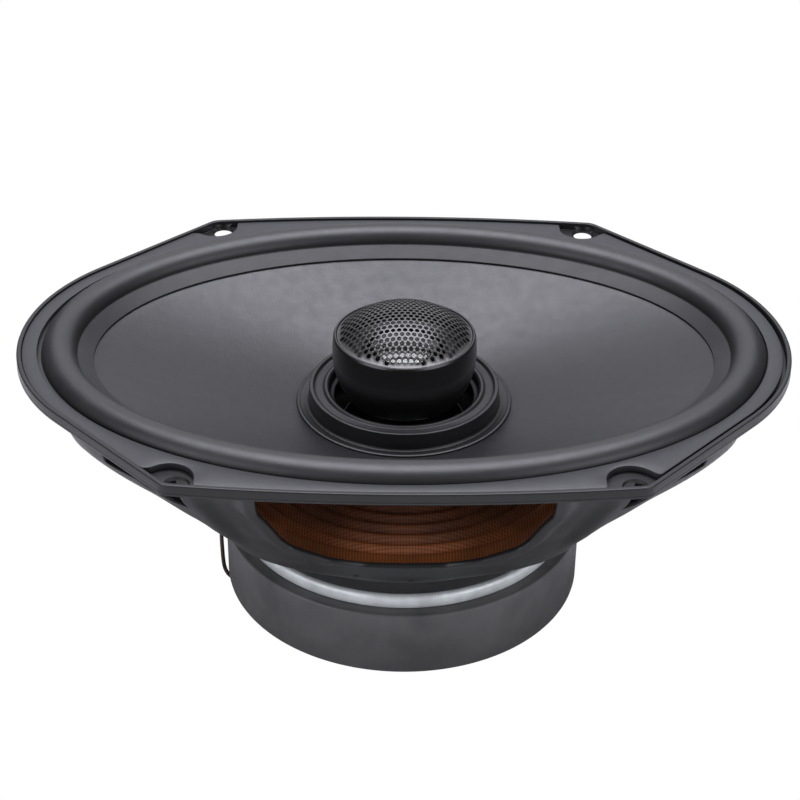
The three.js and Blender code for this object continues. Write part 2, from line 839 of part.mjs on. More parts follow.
function tweeterCoil() {
  const gap = (TWEETER_POLE_R + CUP_INNER_R) / 2;
  const [inner, outer] = [gap - 0.3, gap + 0.1];
  const top = TWEETER_DOME_BASE + 2 * CLEARANCE;
  return turned([
    [inner, top],
    [outer, top],
    [outer, TWEETER_COIL_FOOT],
    [inner, TWEETER_COIL_FOOT],
  ], AROUND_TWEETER);
}

// A domed steel mesh cover, kept here as its plain domed shell with a flat rim.
function tweeterGrille() {
  const thickness = 0.5;
  const base = HOUSING_TOP - CLEARANCE;
  const steps = 6;
  const cap = (radius, rise) => {
    const sphere = (radius ** 2 + rise ** 2) / (2 * rise);
    const limit = Math.asin(radius / sphere);
    return Array.from({ length: steps + 1 }, (_, i) => {
      const angle = (limit * i) / steps;
      const drop = sphere * (1 - Math.cos(angle));
      return [sphere * Math.sin(angle), base - rise + drop];
    });
  };
  const outer = cap(GRILLE_R, GRILLE_RISE);
  const inner = cap(GRILLE_R - thickness, GRILLE_RISE - thickness).reverse();
  return turned([...outer, [21.1, base - 0.1], [21.2, base + 0.02], ...inner]);
}

// ---------------------------------------------------------------- wiring

function placeOnBoard(geometry, tangential, outward, depth) {
  geometry.translate(BOARD_R + outward, tangential, up(depth));
  geometry.rotateZ(deg(BOARD_ANGLE));
  return geometry;
}

function terminalBoard() {
  const height = BOARD_FOOT - BOARD_TOP;
  const body = block(BOARD_THICKNESS, BOARD_WIDTH, height);
  body.translate(BOARD_THICKNESS / 2, 0, 0);
  const hole = new THREE.CylinderGeometry(TERMINAL_HOLE_R, TERMINAL_HOLE_R, 8, 16);
  hole.rotateZ(Math.PI / 2);
  hole.translate(0, 0, (BOARD_TOP + BOARD_FOOT) / 2 - TERMINAL_RIVET_DEPTH);
  const board = carve([body], [hole]);
  return placeOnBoard(board, 0, 0, (BOARD_TOP + BOARD_FOOT) / 2);
}

function terminalRivet() {
  const rivet = turned([
    [0, -0.9],
    [2.4, -0.9],
    [3, -CLEARANCE],
    [TERMINAL_HOLE_R - 0.2, -CLEARANCE],
    [TERMINAL_HOLE_R - 0.2, BOARD_THICKNESS + 1.2],
    [0, BOARD_THICKNESS + 1.2],
  ], AROUND_SMALL);
  rivet.translate(0, 0, -LIP_TOP);
  rivet.rotateY(Math.PI / 2);
  return placeOnBoard(rivet, 0, BOARD_THICKNESS, TERMINAL_RIVET_DEPTH);
}

// A push-on blade lying on the board's outer face; its top end takes the cone's lead.
function terminalTab(width, tangential) {
  const bladeTop = BOARD_TOP - 2.6;
  const bladeFoot = BOARD_FOOT + 7;
  const body = block(TAB_THICKNESS, width, bladeFoot - bladeTop);
  const hole = new THREE.CylinderGeometry(0.8, 0.8, 4, 12);
  hole.rotateZ(Math.PI / 2);
  hole.translate(0, 0, 3.5 - (bladeFoot - bladeTop) / 2);
  const tab = carve([body], [hole]);
  const outward = BOARD_THICKNESS + CLEARANCE + TAB_THICKNESS / 2;
  return placeOnBoard(tab, tangential, outward, (bladeTop + bladeFoot) / 2);
}

// A braided lead from under the cone, through its opening in the wall, to a terminal blade.
function tinselLead(angle, tangential) {
  const end = new THREE.Vector3(BOARD_R + 1.2, tangential, up(BOARD_TOP - 1.4));
  end.applyAxisAngle(new THREE.Vector3(0, 0, 1), deg(BOARD_ANGLE));
  return tube(
    [
      polar(29.5, angle, 25.5),
      polar(33, angle, 29.5),
      polar(41, angle, 33.5),
      polar(50, (angle + BOARD_ANGLE) / 2, 35),
      polar(61, (angle + BOARD_ANGLE) / 2, 36.3),
      polar(67, (angle + BOARD_ANGLE) / 2, 38.6),
      end,
    ],
    TINSEL_R,
    18,
  );
}

// The tweeter's lead: down the post, out along the rear groove and up beside the magnet.
function tweeterLead() {
  const run = LIP_TOP - 1.15;
  return tube(
    [
      new THREE.Vector3(0, 0, up(HOUSING_FLOOR + 1)),
      new THREE.Vector3(0, 0, up(50)),
      new THREE.Vector3(0, 0, up(run - 4)),
      polar(1.2, LEAD_ANGLE, run - 0.7),
      polar(4, LEAD_ANGLE, run),
      polar(26, LEAD_ANGLE, run),
      polar(51, LEAD_ANGLE, run),
      polar(55.5, LEAD_ANGLE, run - 1),
      polar(58.3, LEAD_ANGLE, run - 5),
      polar(59.4, LEAD_ANGLE - 1, 77),
      polar(59.6, LEAD_ANGLE - 5, 70),
      polar(60, 172, 65),
      polar(62.5, 160, 61.5),
      polar(67.4, 151.5, 60),
    ],
    LEAD_R,
    56,
  );
}

function crossoverCapacitor() {
  const half = CAPACITOR_LENGTH / 2;
  const body = turned([
    [0, -half],
    [CAPACITOR_R - 0.7, -half],
    [CAPACITOR_R, 0.7 - half],
    [CAPACITOR_R, half - 2.6],
    [CAPACITOR_R - 0.5, half - 2.2],
    [CAPACITOR_R - 0.5, half - 1.6],
    [CAPACITOR_R, half - 1.2],
    [CAPACITOR_R - 0.6, half],
    [0, half],
  ], AROUND_SMALL);
  body.translate(0, 0, -LIP_TOP);
  body.rotateY(Math.PI / 2);
  body.translate(0, CAPACITOR_Y, up(CAPACITOR_DEPTH));
  return body;
}

function capacitorLead() {
  const x = -CAPACITOR_LENGTH / 2 - 0.35;
  return tube(
    [
      new THREE.Vector3(x, CAPACITOR_Y, up(CAPACITOR_DEPTH)),
      new THREE.Vector3(x - 6, CAPACITOR_Y + 0.6, up(CAPACITOR_DEPTH + 2)),
      polar(61.5, 116, 58),
      polar(63.5, 127, 60),
      polar(67.2, 137.5, 59.5),
    ],
    LEAD_R,
    14,
  );
}

// ---------------------------------------------------------------- finishes

const finish = (color, roughness, metalness = 0) =>
  () => new THREE.MeshStandardMaterial({ color, roughness, metalness });

const blackPaint = finish(0x36373a, 0.5, 0.2);
const rubber = finish(0x4c4d51, 0.75);
const paperCone = finish(0x5c5d62, 0.8);
const satinBlack = finish(0x1b1b1c, 0.35);
const zinc = finish(0xb9c0bc, 0.3, 0.9);
const ferrite = finish(0x55565a, 0.6);
const steel = finish(0x8f9396, 0.35, 0.9);
const copper = finish(0xb5643a, 0.35, 0.8);
const brownCloth = finish(0x7a4226, 0.9);
const silver = finish(0xc9cbce, 0.25, 0.9);
const blackSteel = finish(0x202022, 0.4, 0.5);
const fibreBoard = finish(0x8a6238, 0.7);
const brass = finish(0xb8993f, 0.35, 0.9);
const brownSleeve = finish(0x3b2a1e, 0.6);
const blueSleeve = finish(0x27303f, 0.45);
const braid = finish(0xa8795a, 0.5, 0.6);

// ---------------------------------------------------------------- assembly

const speaker = new THREE.Group();

function add(parent, name, geometry, material) {
  const mesh = new THREE.Mesh(closed(geometry), material());
  mesh.name = name;
  parent.add(mesh);
}

const frameGroup = new THREE.Group();
add(frameGroup, "basket", basket(), blackPaint);
add(frameGroup, "gasket_ring", gasketRing(), rubber);
rivetAngles.forEach((angle, i) =>
  add(frameGroup, `frame_rivet_${i + 1}`, frameRivet(angle), steel),
);

const motorGroup = new THREE.Group();
add(motorGroup, "top_plate", topPlate(), zinc);
add(motorGroup, "magnet", magnet(), ferrite);
add(motorGroup, "yoke", yoke(), zinc);

const coneGroup = new THREE.Group();
add(coneGroup, "surround", surround(), rubber);
add(coneGroup, "cone", cone(), paperCone);
add(coneGroup, "cone_collar", coneCollar(), satinBlack);
add(coneGroup, "voice_coil_former", voiceCoilFormer(), silver);
add(coneGroup, "voice_coil_winding", voiceCoilWinding(), copper);
add(coneGroup, "spider", spider(), brownCloth);

const tweeterGroup = new THREE.Group();
add(tweeterGroup, "tweeter_post", tweeterPost(), steel);
add(tweeterGroup, "post_sleeve", postSleeve(), satinBlack);
add(tweeterGroup, "post_nut", postNut(), steel);
add(tweeterGroup, "tweeter_housing", tweeterHousing(), satinBlack);
add(tweeterGroup, "tweeter_cup", tweeterCup(), zinc);
add(
  tweeterGroup,
  "tweeter_magnet",
  disc(TWEETER_MAGNET_R, TWEETER_MAGNET_TOP, CUP_FLOOR - CLEARANCE),
  steel,
);
add(
  tweeterGroup,
  "tweeter_pole_plate",
  disc(TWEETER_POLE_R, TWEETER_POLE_TOP, TWEETER_MAGNET_TOP - CLEARANCE),
  zinc,
);
add(tweeterGroup, "tweeter_face_ring", tweeterFaceRing(), satinBlack);
add(tweeterGroup, "tweeter_suspension", tweeterSuspension(), satinBlack);
add(tweeterGroup, "tweeter_dome", tweeterDome(), silver);
add(tweeterGroup, "tweeter_coil", tweeterCoil(), copper);
add(tweeterGroup, "tweeter_grille", tweeterGrille(), blackSteel);

const wiringGroup = new THREE.Group();
add(wiringGroup, "terminal_board", terminalBoard(), fibreBoard);
add(wiringGroup, "terminal_rivet", terminalRivet(), steel);
add(wiringGroup, "terminal_tab_positive", terminalTab(6.3, -TAB_ASIDE), brass);
add(wiringGroup, "terminal_tab_negative", terminalTab(4.8, TAB_ASIDE), brass);
add(wiringGroup, "tinsel_lead_positive", tinselLead(BOARD_ANGLE - 10, -TAB_ASIDE), braid);
add(wiringGroup, "tinsel_lead_negative", tinselLead(BOARD_ANGLE + 10, TAB_ASIDE), braid);
add(wiringGroup, "tweeter_lead", tweeterLead(), brownSleeve);
add(wiringGroup, "crossover_capacitor", crossoverCapacitor(), blueSleeve);
add(wiringGroup, "capacitor_lead", capacitorLead(), brownSleeve);

speaker.add(frameGroup, motorGroup, coneGroup, tweeterGroup, wiringGroup);

export default speaker;
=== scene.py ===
# Looks of the coaxial car loudspeaker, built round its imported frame.
# Lengths in the geometry code are millimetres; "depth" is measured down from the frame's lip.

import math

import bmesh
import bpy
import numpy as np
from mathutils import Matrix, Vector, geometry, kdtree


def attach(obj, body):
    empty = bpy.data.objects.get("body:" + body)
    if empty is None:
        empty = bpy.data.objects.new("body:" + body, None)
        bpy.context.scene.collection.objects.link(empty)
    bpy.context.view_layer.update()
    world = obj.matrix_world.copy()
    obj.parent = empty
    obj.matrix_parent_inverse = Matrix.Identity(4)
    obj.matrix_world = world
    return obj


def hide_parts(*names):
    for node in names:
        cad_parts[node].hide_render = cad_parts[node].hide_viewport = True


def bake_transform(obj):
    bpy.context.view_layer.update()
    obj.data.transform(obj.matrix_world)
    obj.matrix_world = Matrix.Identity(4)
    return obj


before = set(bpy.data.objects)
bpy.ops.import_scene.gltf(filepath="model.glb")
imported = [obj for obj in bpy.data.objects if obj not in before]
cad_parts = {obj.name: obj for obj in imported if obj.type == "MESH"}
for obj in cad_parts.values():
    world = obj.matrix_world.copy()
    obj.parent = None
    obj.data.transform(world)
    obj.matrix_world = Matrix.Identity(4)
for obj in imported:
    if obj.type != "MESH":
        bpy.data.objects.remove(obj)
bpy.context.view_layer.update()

MM = 0.001
LIP_TOP = 90.0

# Flange: its outline, lip and screws
END_CENTRE_X = 52.6
END_RADIUS = 65.0
SIDE_HALF_WIDTH = 84.6
SIDE_RADIUS = 548.0
DIAGONAL = math.radians(43.7)
CORNER_FILLET = 1.9
LIP_WIDTH = 1.5
LIP_HEIGHT = 3.45
FLOOR = 2.6
SCREW_X = 61.83
SCREW_Y = 76.3
TIP_X = END_CENTRE_X + END_RADIUS

# Basket wall: depth, half-length, half-width, and exponent of its oval
WALL = np.array([
    (2.9, 110.0, 79.0, 2.13),
    (12.0, 108.7, 78.4, 2.13),
    (20.0, 94.6, 75.0, 2.4),
    (34.0, 76.2, 70.0, 2.4),
    (38.5, 71.2, 65.9, 2.5),
    (47.0, 61.4, 58.4, 2.8),
    (52.0, 54.9, 54.9, 2.0),
    (54.0, 51.2, 51.2, 2.0),
])
WALL_THICKNESS = 1.5
WINDOW_TOP = 7.0
RIVET_R = 33.0
RIVET_ANGLES = (45, 135, 225, 315)
ACROSS = 1.4  # domain units per degree, near a millimetre on the wall
DOWN = 1.5  # domain units per millimetre of depth, for the wall's slope

# Surround
ROLL_A = 110.2
ROLL_B = 78.2
ROLL_WIDTH = 10.5
ROLL_FOOT = 1.85
ROLL_INNER_FOOT = 2.4
LAND_WIDTH = 4.8
LAND_DEPTH = 5.35
SKIN = 0.65

# Radius where the spider's waves end and its glued rim begins
SPIDER_EDGE = 57.0

# Wiring: the terminal board's direction and distance, the lead's direction, and the capacitor
BOARD_ANGLE = math.radians(144)
BOARD_R = 68.0
LEAD_ANGLE = 186
CAPACITOR_Y = 61.3
CAPACITOR_DEPTH = 53

ON_BOARD = Matrix.Rotation(BOARD_ANGLE, 4, "Z")
UPRIGHT = Matrix.Rotation(math.pi / 2, 4, "Y")


def up(depth):
    return LIP_TOP - depth


def smooth(t):
    t = np.clip(t, 0, 1)
    return t * t * (3 - 2 * t)


def unit(v):
    return v / np.maximum(np.linalg.norm(v, axis=-1, keepdims=True), 1e-12)


# ---- Meshes

def add(name, data):
    """A new object at the origin."""
    obj = bpy.data.objects.new(name, data)
    bpy.context.scene.collection.objects.link(obj)
    return obj


def solid(name, verts, faces, sharp=40):
    """A closed mesh object from points in millimetres, smooth but for edges sharper than that."""
    mesh = bpy.data.meshes.new(name)
    mesh.from_pydata((np.asarray(verts, float) * MM).tolist(), [], faces)
    bm = bmesh.new()
    bm.from_mesh(mesh)
    bmesh.ops.remove_doubles(bm, verts=bm.verts, dist=1e-6)
    bmesh.ops.recalc_face_normals(bm, faces=bm.faces)
    bm.to_mesh(mesh)
    bm.free()
    mesh.validate()
    mesh.shade_smooth()
    mesh.set_sharp_from_angle(angle=math.radians(sharp))
    return add(name, mesh)


def rounded(points, steps=4, closed=True):
    """Rounds the corners of a chain of (x, y, radius) points; a point with no radius stays."""
    points = [tuple(p) + (0,) * (3 - len(p)) for p in points]
    count = len(points)
    out = []
    for i, (x, y, radius) in enumerate(points):
        p = np.array((x, y), float)
        if radius <= 0 or (not closed and i in (0, count - 1)):
            out.append(p)
            continue
        a = np.array(points[i - 1][:2]) - p
        b = np.array(points[(i + 1) % count][:2]) - p
        la, lb = np.linalg.norm(a), np.linalg.norm(b)
        a, b = a / la, b / lb
        half = math.acos(np.clip(a @ b, -1, 1)) / 2
        if half > math.radians(88):
            out.append(p)
            continue
        reach = min(radius / math.tan(half), 0.48 * la, 0.48 * lb)
        centre = p + unit(a + b) * reach / math.cos(half)
        start, end = p + a * reach - centre, p + b * reach - centre
        turn = math.atan2(start[0] * end[1] - start[1] * end[0], start @ end)
        for k in range(steps + 1):
            c, s = math.cos(turn * k / steps), math.sin(turn * k / steps)
            out.append(centre + (c * start[0] - s * start[1], s * start[0] + c * start[1]))
    return np.array(out)


def skin(rings, closed=True):
    """Quads over a chain of rings of equal length; closed joins the last ring to the first."""
    count = len(rings[0])
    faces = []
    for r in range(len(rings) if closed else len(rings) - 1):
        a, b = r * count, (r + 1) % len(rings) * count
        faces += [(a + i, a + (i + 1) % count, b + (i + 1) % count, b + i) for i in range(count)]
    return np.concatenate(rings), faces


def turned(name, profile, segments=144, steps=4, sharp=40):
    """Turns a closed profile of (radius, depth, corner radius) round Z."""
    on_axis = profile[0][0] == 0 and profile[-1][0] == 0
    chain = rounded(profile, steps, closed=not on_axis)
    angle = np.linspace(0, 2 * math.pi, segments, endpoint=False)
    rings = [
        np.stack([r * np.cos(angle), r * np.sin(angle), np.full(segments, up(d))], 1)
        for r, d in chain
    ]
    return solid(name, *skin(rings, closed=not on_axis), sharp=sharp)


def oval_ring(a, b, depth, segments=288):
    angle = np.linspace(0, 2 * math.pi, segments, endpoint=False)
    return np.stack([a * np.cos(angle), b * np.sin(angle), np.full(segments, up(depth))], 1)


def catmull(points, steps):
    """A smooth path through points, each span cut into steps."""
    p = np.asarray(points, float)
    p = np.concatenate([[2 * p[0] - p[1]], p, [2 * p[-1] - p[-2]]])
    out = []
    for i in range(1, len(p) - 2):
        for t in np.arange(steps) / steps:
            a, b, c, d = p[i - 1:i + 3]
            out.append(0.5 * (2 * b + (c - a) * t + (2 * a - 5 * b + 4 * c - d) * t * t
                              + (3 * b - a - 3 * c + d) * t ** 3))
    return np.array(out + [p[-2]])


def tube(name, points, radius, steps=10, around=12):
    """A round wire along a smooth path, with domed ends. radius may be one for each path point."""
    path = catmull(points, steps)
    along = unit(np.gradient(path, axis=0))
    side = unit(np.cross(along[0], (0.3, 0.5, 0.81)))
    sides = []
    for t in along:
        side = unit(side - (side @ t) * t)
        sides.append(side)
    sides = np.array(sides)
    other = np.cross(along, sides)
    angle = np.linspace(0, 2 * math.pi, around, endpoint=False)[None, :, None]
    radii = np.broadcast_to(radius, len(path)).astype(float)
    caps = [(0.0, 0.0), (0.6, 0.3), (0.9, 0.6)]
    centres = [path[0] - along[0] * radii[0] * (1 - out) * 0.6 for _, out in caps]
    scales = [radii[0] * s for s, _ in caps]
    frames = [(sides[0], other[0])] * 3
    centres += list(path)
    scales += list(radii)
    frames += list(zip(sides, other))
    centres += [path[-1] + along[-1] * radii[-1] * (1 - out) * 0.6 for _, out in caps[::-1]]
    scales += [radii[-1] * s for s, _ in caps[::-1]]
    frames += [(sides[-1], other[-1])] * 3
    rings = [
        c + s * (np.cos(angle[0]) * f[0] + np.sin(angle[0]) * f[1])
        for c, s, f in zip(centres, scales, frames)
    ]
    return solid(name, *skin(rings, closed=False), sharp=60)


def inside(points, loop):
    """Which points a closed loop holds."""
    x, y = points[:, 0:1], points[:, 1:2]
    a, b = loop, np.roll(loop, -1, 0)
    crosses = (a[:, 1] > y) != (b[:, 1] > y)
    rise = np.where(b[:, 1] == a[:, 1], 1e-12, b[:, 1] - a[:, 1])
    at = a[:, 0] + (y - a[:, 1]) * (b[:, 0] - a[:, 0]) / rise
    return (crosses & (x < at)).sum(1) % 2 == 1


def loop_distance(points, loops):
    """Distance from each point to the nearest edge of the loops."""
    best = np.full(len(points), 1e9)
    for loop in loops:
        a, b = loop, np.roll(loop, -1, 0)
        d = b - a
        t = ((points[:, None] - a) * d).sum(2) / np.maximum((d * d).sum(1), 1e-12)
        near = a + np.clip(t, 0, 1)[..., None] * d
        best = np.minimum(best, np.linalg.norm(points[:, None] - near, axis=2).min(1))
    return best


def loop_normals(loop):
    along = unit(np.roll(loop, -1, 0) - np.roll(loop, 1, 0))
    return np.stack([-along[:, 1], along[:, 0]], 1)


def sheet(name, loops, seeds, keep, top, foot, sharp=40, seam=None):
    """A closed solid between two mapped copies of a flat region that is cut into triangles.
    The region's ends at x = 0 and x = seam meet, so no side wall is made there."""
    points, edges = [], []
    for loop in loops:
        first, count = len(points), len(loop)
        points += [Vector(p) for p in loop]
        edges += [(first + i, first + (i + 1) % count) for i in range(count)]
    points += [Vector(p) for p in seeds]
    found = geometry.delaunay_2d_cdt(points, edges, [], 0, 1e-5)
    flat = np.array([tuple(v) for v in found[0]])
    triangles = np.array([f for f in found[2] if len(f) == 3])
    triangles = triangles[keep(flat[triangles].mean(1))]
    used, index = np.unique(triangles, return_inverse=True)
    flat, triangles = flat[used], index.reshape(-1, 3)
    directed = np.concatenate([triangles[:, [0, 1]], triangles[:, [1, 2]], triangles[:, [2, 0]]])
    seen = {tuple(e) for e in directed.tolist()}
    count = len(flat)
    faces = triangles.tolist() + (triangles[:, ::-1] + count).tolist()
    rim = np.array([e for e in seen if e[::-1] not in seen])
    if seam:
        x = flat[rim, 0]
        rim = rim[(np.abs(x).max(1) > 1e-3) & (np.abs(x - seam).max(1) > 1e-3)]
    faces += [(b, a, a + count, b + count) for a, b in rim.tolist()]
    return solid(name, np.concatenate([top(flat), foot(flat)]), faces, sharp)


def slab(name, loops, top, foot, edge=0.2, seeds=(), sharp=40):
    """A flat plate between two depths, with holes and softly rounded edges."""
    loops = [np.asarray(loop, float) for loop in loops]
    rings = []
    for loop in loops:
        normals = loop_normals(loop)
        for away in (0.3 * edge, edge):
            for way in (1, -1):
                ring = loop + normals * away * way
                rings.append(ring)
    rings = np.concatenate(rings + [np.reshape(seeds, (-1, 2))])

    def keep(points):
        held = inside(points, loops[0])
        for hole in loops[1:]:
            held &= ~inside(points, hole)
        return held

    rings = rings[keep(rings)]
    rings = rings[loop_distance(rings, loops) > 0.25 * edge]

    def level(depth, sign):
        def place(flat):
            d = np.clip(loop_distance(flat, loops), 0, edge)
            drop = edge - np.sqrt(np.maximum(edge ** 2 - (edge - d) ** 2, 0))
            return np.column_stack([flat, up(depth) - sign * drop])
        return place

    return sheet(name, loops, rings, keep, level(top, 1), level(foot, -1), sharp)


def combine(obj, others, operation):
    """Joins or cuts obj with closed solids, which are used up."""
    for other in others:
        modifier = obj.modifiers.new("combine", "BOOLEAN")
        modifier.object = other
        modifier.operation = operation
        modifier.solver = "MANIFOLD"
    graph = bpy.context.evaluated_depsgraph_get()
    mesh = bpy.data.meshes.new_from_object(obj.evaluated_get(graph))
    obj.modifiers.clear()
    obj.data = mesh
    for other in others:
        bpy.data.objects.remove(other)
    mesh.shade_smooth()
    mesh.set_sharp_from_angle(angle=math.radians(35))
    return obj


def moved(obj, matrix):
    """Moves a piece's points, so that its object stays at the origin."""
    obj.data.transform(matrix)
    return obj


def shifted(obj, x=0, y=0, z=0):
    """Moves a piece by millimetres."""
    return moved(obj, Matrix.Translation((x * MM, y * MM, z * MM)))


def polar(radius, angle, depth):
    a = math.radians(angle)
    return np.array((radius * math.cos(a), radius * math.sin(a), up(depth)))


def at_rivets(name, profile, segments):
    """A turned solid on the axis of each frame rivet."""
    return [
        shifted(turned(f"{name}_{k + 1}", profile, segments), *polar(RIVET_R, angle, LIP_TOP))
        for k, angle in enumerate(RIVET_ANGLES)
    ]


def on_end(obj, outward, tangential, depth):
    """Stands a slab made flat at the lip's top level upright at the terminal board."""
    upright = moved(shifted(obj, z=-LIP_TOP), UPRIGHT)
    return moved(shifted(upright, BOARD_R + outward, tangential, up(depth)), ON_BOARD)


def circle(x, y, radius, count=32):
    angle = np.linspace(0, 2 * math.pi, count, endpoint=False)
    return np.stack([x + radius * np.cos(angle), y + radius * np.sin(angle)], 1)


def rectangle(width, height, radius, steps=5):
    x, y = width / 2, height / 2
    return rounded([(x, -y, radius), (x, y, radius), (-x, y, radius), (-x, -y, radius)], steps)


# ---- Materials

def put(node, **values):
    """Sets a node's inputs; an underscore in a keyword stands for a space."""
    for key, value in values.items():
        node.inputs[key.replace("_", " ")].default_value = value


def material(name, color, roughness, metallic=0.0, mottle=(60.0, 0.25), bumps=(),
             rough_spread=0.08, coat=0.0, specular=0.5, second=None):
    """A procedural finish. mottle is (scale, amount) of a darker tone, or of a second colour, and
    bumps are (scale, height in millimetres, detail) layers of noise."""
    m = bpy.data.materials.new(name)
    m.use_nodes = True
    nodes, links = m.node_tree.nodes, m.node_tree.links
    shader = nodes["Principled BSDF"]
    place = nodes.new("ShaderNodeTexCoord").outputs["Object"]

    def noise(scale, detail=3.0, distortion=0.0):
        n = nodes.new("ShaderNodeTexNoise")
        put(n, Scale=scale, Detail=detail, Distortion=distortion)
        links.new(place, n.inputs["Vector"])
        return n.outputs["Fac"]

    scale, amount = mottle
    ramp = nodes.new("ShaderNodeMapRange")
    put(ramp, From_Min=0.35, From_Max=0.65)
    links.new(noise(scale, 4.0, 0.3), ramp.inputs["Value"])
    mix = nodes.new("ShaderNodeMix")
    mix.data_type = "RGBA"
    other = second or tuple(c * (1 - amount) for c in color)
    put(mix, A=(*color, 1), B=(*other, 1))
    strength = nodes.new("ShaderNodeMath")
    strength.operation = "MULTIPLY"
    strength.inputs[1].default_value = 1.0 if second is None else amount
    links.new(ramp.outputs["Result"], strength.inputs[0])
    links.new(strength.outputs[0], mix.inputs["Factor"])
    links.new(mix.outputs["Result"], shader.inputs["Base Color"])

    spread = nodes.new("ShaderNodeMapRange")
    put(spread, To_Min=max(roughness - rough_spread, 0.02), To_Max=min(roughness + rough_spread, 1.0))
    links.new(noise(scale * 2.3, 5.0), spread.inputs["Value"])
    links.new(spread.outputs["Result"], shader.inputs["Roughness"])

    previous = None
    for bump_scale, height, detail in bumps:
        bump = nodes.new("ShaderNodeBump")
        put(bump, Distance=height * MM)
        links.new(noise(bump_scale, detail), bump.inputs["Height"])
        if previous is not None:
            links.new(previous, bump.inputs["Normal"])
        previous = bump.outputs["Normal"]
    if previous is not None:
        links.new(previous, shader.inputs["Normal"])
    put(shader, Metallic=metallic, Coat_Weight=coat, Coat_Roughness=0.15, Specular_IOR_Level=specular)
    return m


def woven(name, dark, light, pitch, rim):
    """Square-woven treated cloth: threads along X and Y, as colour and as bump, with painted light:
    the cloth is painted lighter towards the rim, between the two radii given in millimetres."""
    m = material(name, light, 0.6, mottle=(90.0, 0.3), bumps=((900.0, 0.05, 3.0),))
    nodes, links = m.node_tree.nodes, m.node_tree.links
    shader = nodes["Principled BSDF"]
    place = nodes.new("ShaderNodeTexCoord").outputs["Object"]
    split = nodes.new("ShaderNodeSeparateXYZ")
    links.new(place, split.inputs[0])

    def math_node(operation, a, b=None, c=None):
        n = nodes.new("ShaderNodeMath")
        n.operation = operation
        for i, value in enumerate((a, b, c)):
            if value is None:
                continue
            if isinstance(value, (int, float)):
                n.inputs[i].default_value = value
            else:
                links.new(value, n.inputs[i])
        return n.outputs[0]

    turn = 2 * math.pi / (pitch * MM)
    across = math_node("SINE", math_node("MULTIPLY", split.outputs["X"], turn))
    down = math_node("SINE", math_node("MULTIPLY", split.outputs["Y"], turn))
    weave = math_node("MULTIPLY_ADD", across, 0.2, math_node("MULTIPLY_ADD", down, 0.14, 0.5))
    squares = [math_node("POWER", split.outputs[axis], 2.0) for axis in "XY"]
    # Painted light: the cloth colour is mixed lighter from the inner to the outer radius of rim,
    # standing in for light on the spider's outer band.
    painted_light_band = nodes.new("ShaderNodeMapRange")
    put(painted_light_band, From_Min=rim[0] * MM, From_Max=rim[1] * MM, To_Min=0.5, To_Max=1.15)
    links.new(math_node("SQRT", math_node("ADD", *squares)), painted_light_band.inputs["Value"])
    mix = nodes.new("ShaderNodeMix")
    mix.data_type = "RGBA"
    put(mix, A=(*dark, 1))
    base = shader.inputs["Base Color"].links[0].from_socket
    links.new(base, mix.inputs["B"])
    links.new(math_node("MULTIPLY", weave, painted_light_band.outputs["Result"]), mix.inputs["Factor"])
    links.new(mix.outputs["Result"], shader.inputs["Base Color"])
    bump = nodes.new("ShaderNodeBump")
    put(bump, Distance=0.12 * MM)
    links.new(weave, bump.inputs["Height"])
    links.new(shader.inputs["Normal"].links[0].from_socket, bump.inputs["Normal"])
    links.new(bump.outputs["Normal"], shader.inputs["Normal"])
    return m


black_paint = material("black_paint", (0.010, 0.0101, 0.0106), 0.40, mottle=(45.0, 0.2),
                       bumps=((700.0, 0.03, 4.0), (90.0, 0.05, 2.0)), rough_spread=0.06,
                       specular=0.4)
gasket_rubber = material("gasket_rubber", (0.018, 0.0185, 0.021), 0.5, mottle=(160.0, 0.12),
                         bumps=((2600.0, 0.04, 4.0),))
roll_rubber = material("roll_rubber", (0.013, 0.013, 0.014), 0.46, mottle=(70.0, 0.12),
                       bumps=((3200.0, 0.03, 3.0), (300.0, 0.03, 2.0)))
pulp = material("pulp", (0.008, 0.008, 0.009), 0.43, mottle=(110.0, 0.1),
                bumps=((2200.0, 0.05, 5.0), (160.0, 0.08, 2.0)))
gloss_black = material("gloss_black", (0.005, 0.005, 0.005), 0.3, mottle=(50.0, 0.2),
                       bumps=((1500.0, 0.008, 3.0),), rough_spread=0.05)
collar_black = material("collar_black", (0.006, 0.006, 0.0065), 0.42, mottle=(80.0, 0.2),
                        bumps=((1500.0, 0.012, 3.0),), rough_spread=0.05)
zinc = material("zinc", (0.74, 0.775, 0.76), 0.50, 0.45, mottle=(140.0, 0.25),
                bumps=((900.0, 0.03, 4.0), (120.0, 0.06, 2.0)))
ferrite = material("ferrite", (0.100, 0.097, 0.097), 0.52,
                   mottle=(55.0, 0.8),
                   bumps=((1300.0, 0.06, 5.0), (80.0, 0.25, 3.0)), rough_spread=0.15,
                   second=(0.050, 0.050, 0.051))
steel = material("steel", (0.42, 0.43, 0.44), 0.36, 0.9, mottle=(200.0, 0.3),
                 bumps=((1200.0, 0.02, 3.0),))
black_steel = material("black_steel", (0.075, 0.074, 0.073), 0.36, 0.5, mottle=(200.0, 0.2),
                       bumps=((1500.0, 0.01, 3.0),))
silver = material("silver", (0.13, 0.13, 0.125), 0.15, 1.0, mottle=(120.0, 0.1),
                  bumps=((500.0, 0.01, 3.0),), rough_spread=0.03)
anodised = material("anodised", (0.02, 0.02, 0.021), 0.5, 0.3, mottle=(120.0, 0.2),
                    bumps=((900.0, 0.01, 3.0),))
copper = material("copper", (0.52, 0.22, 0.10), 0.35, 0.85, mottle=(300.0, 0.3),
                  bumps=((1600.0, 0.03, 3.0),))
brass = material("brass", (0.55, 0.42, 0.16), 0.33, 0.9, mottle=(200.0, 0.25),
                 bumps=((900.0, 0.02, 3.0),))
braid = material("braid", (0.42, 0.26, 0.14), 0.5, 0.6, mottle=(900.0, 0.5),
                 bumps=((1800.0, 0.15, 2.0),))
fibre = material("fibre", (0.25, 0.15, 0.07), 0.7, mottle=(400.0, 0.35),
                 bumps=((2500.0, 0.03, 4.0),))
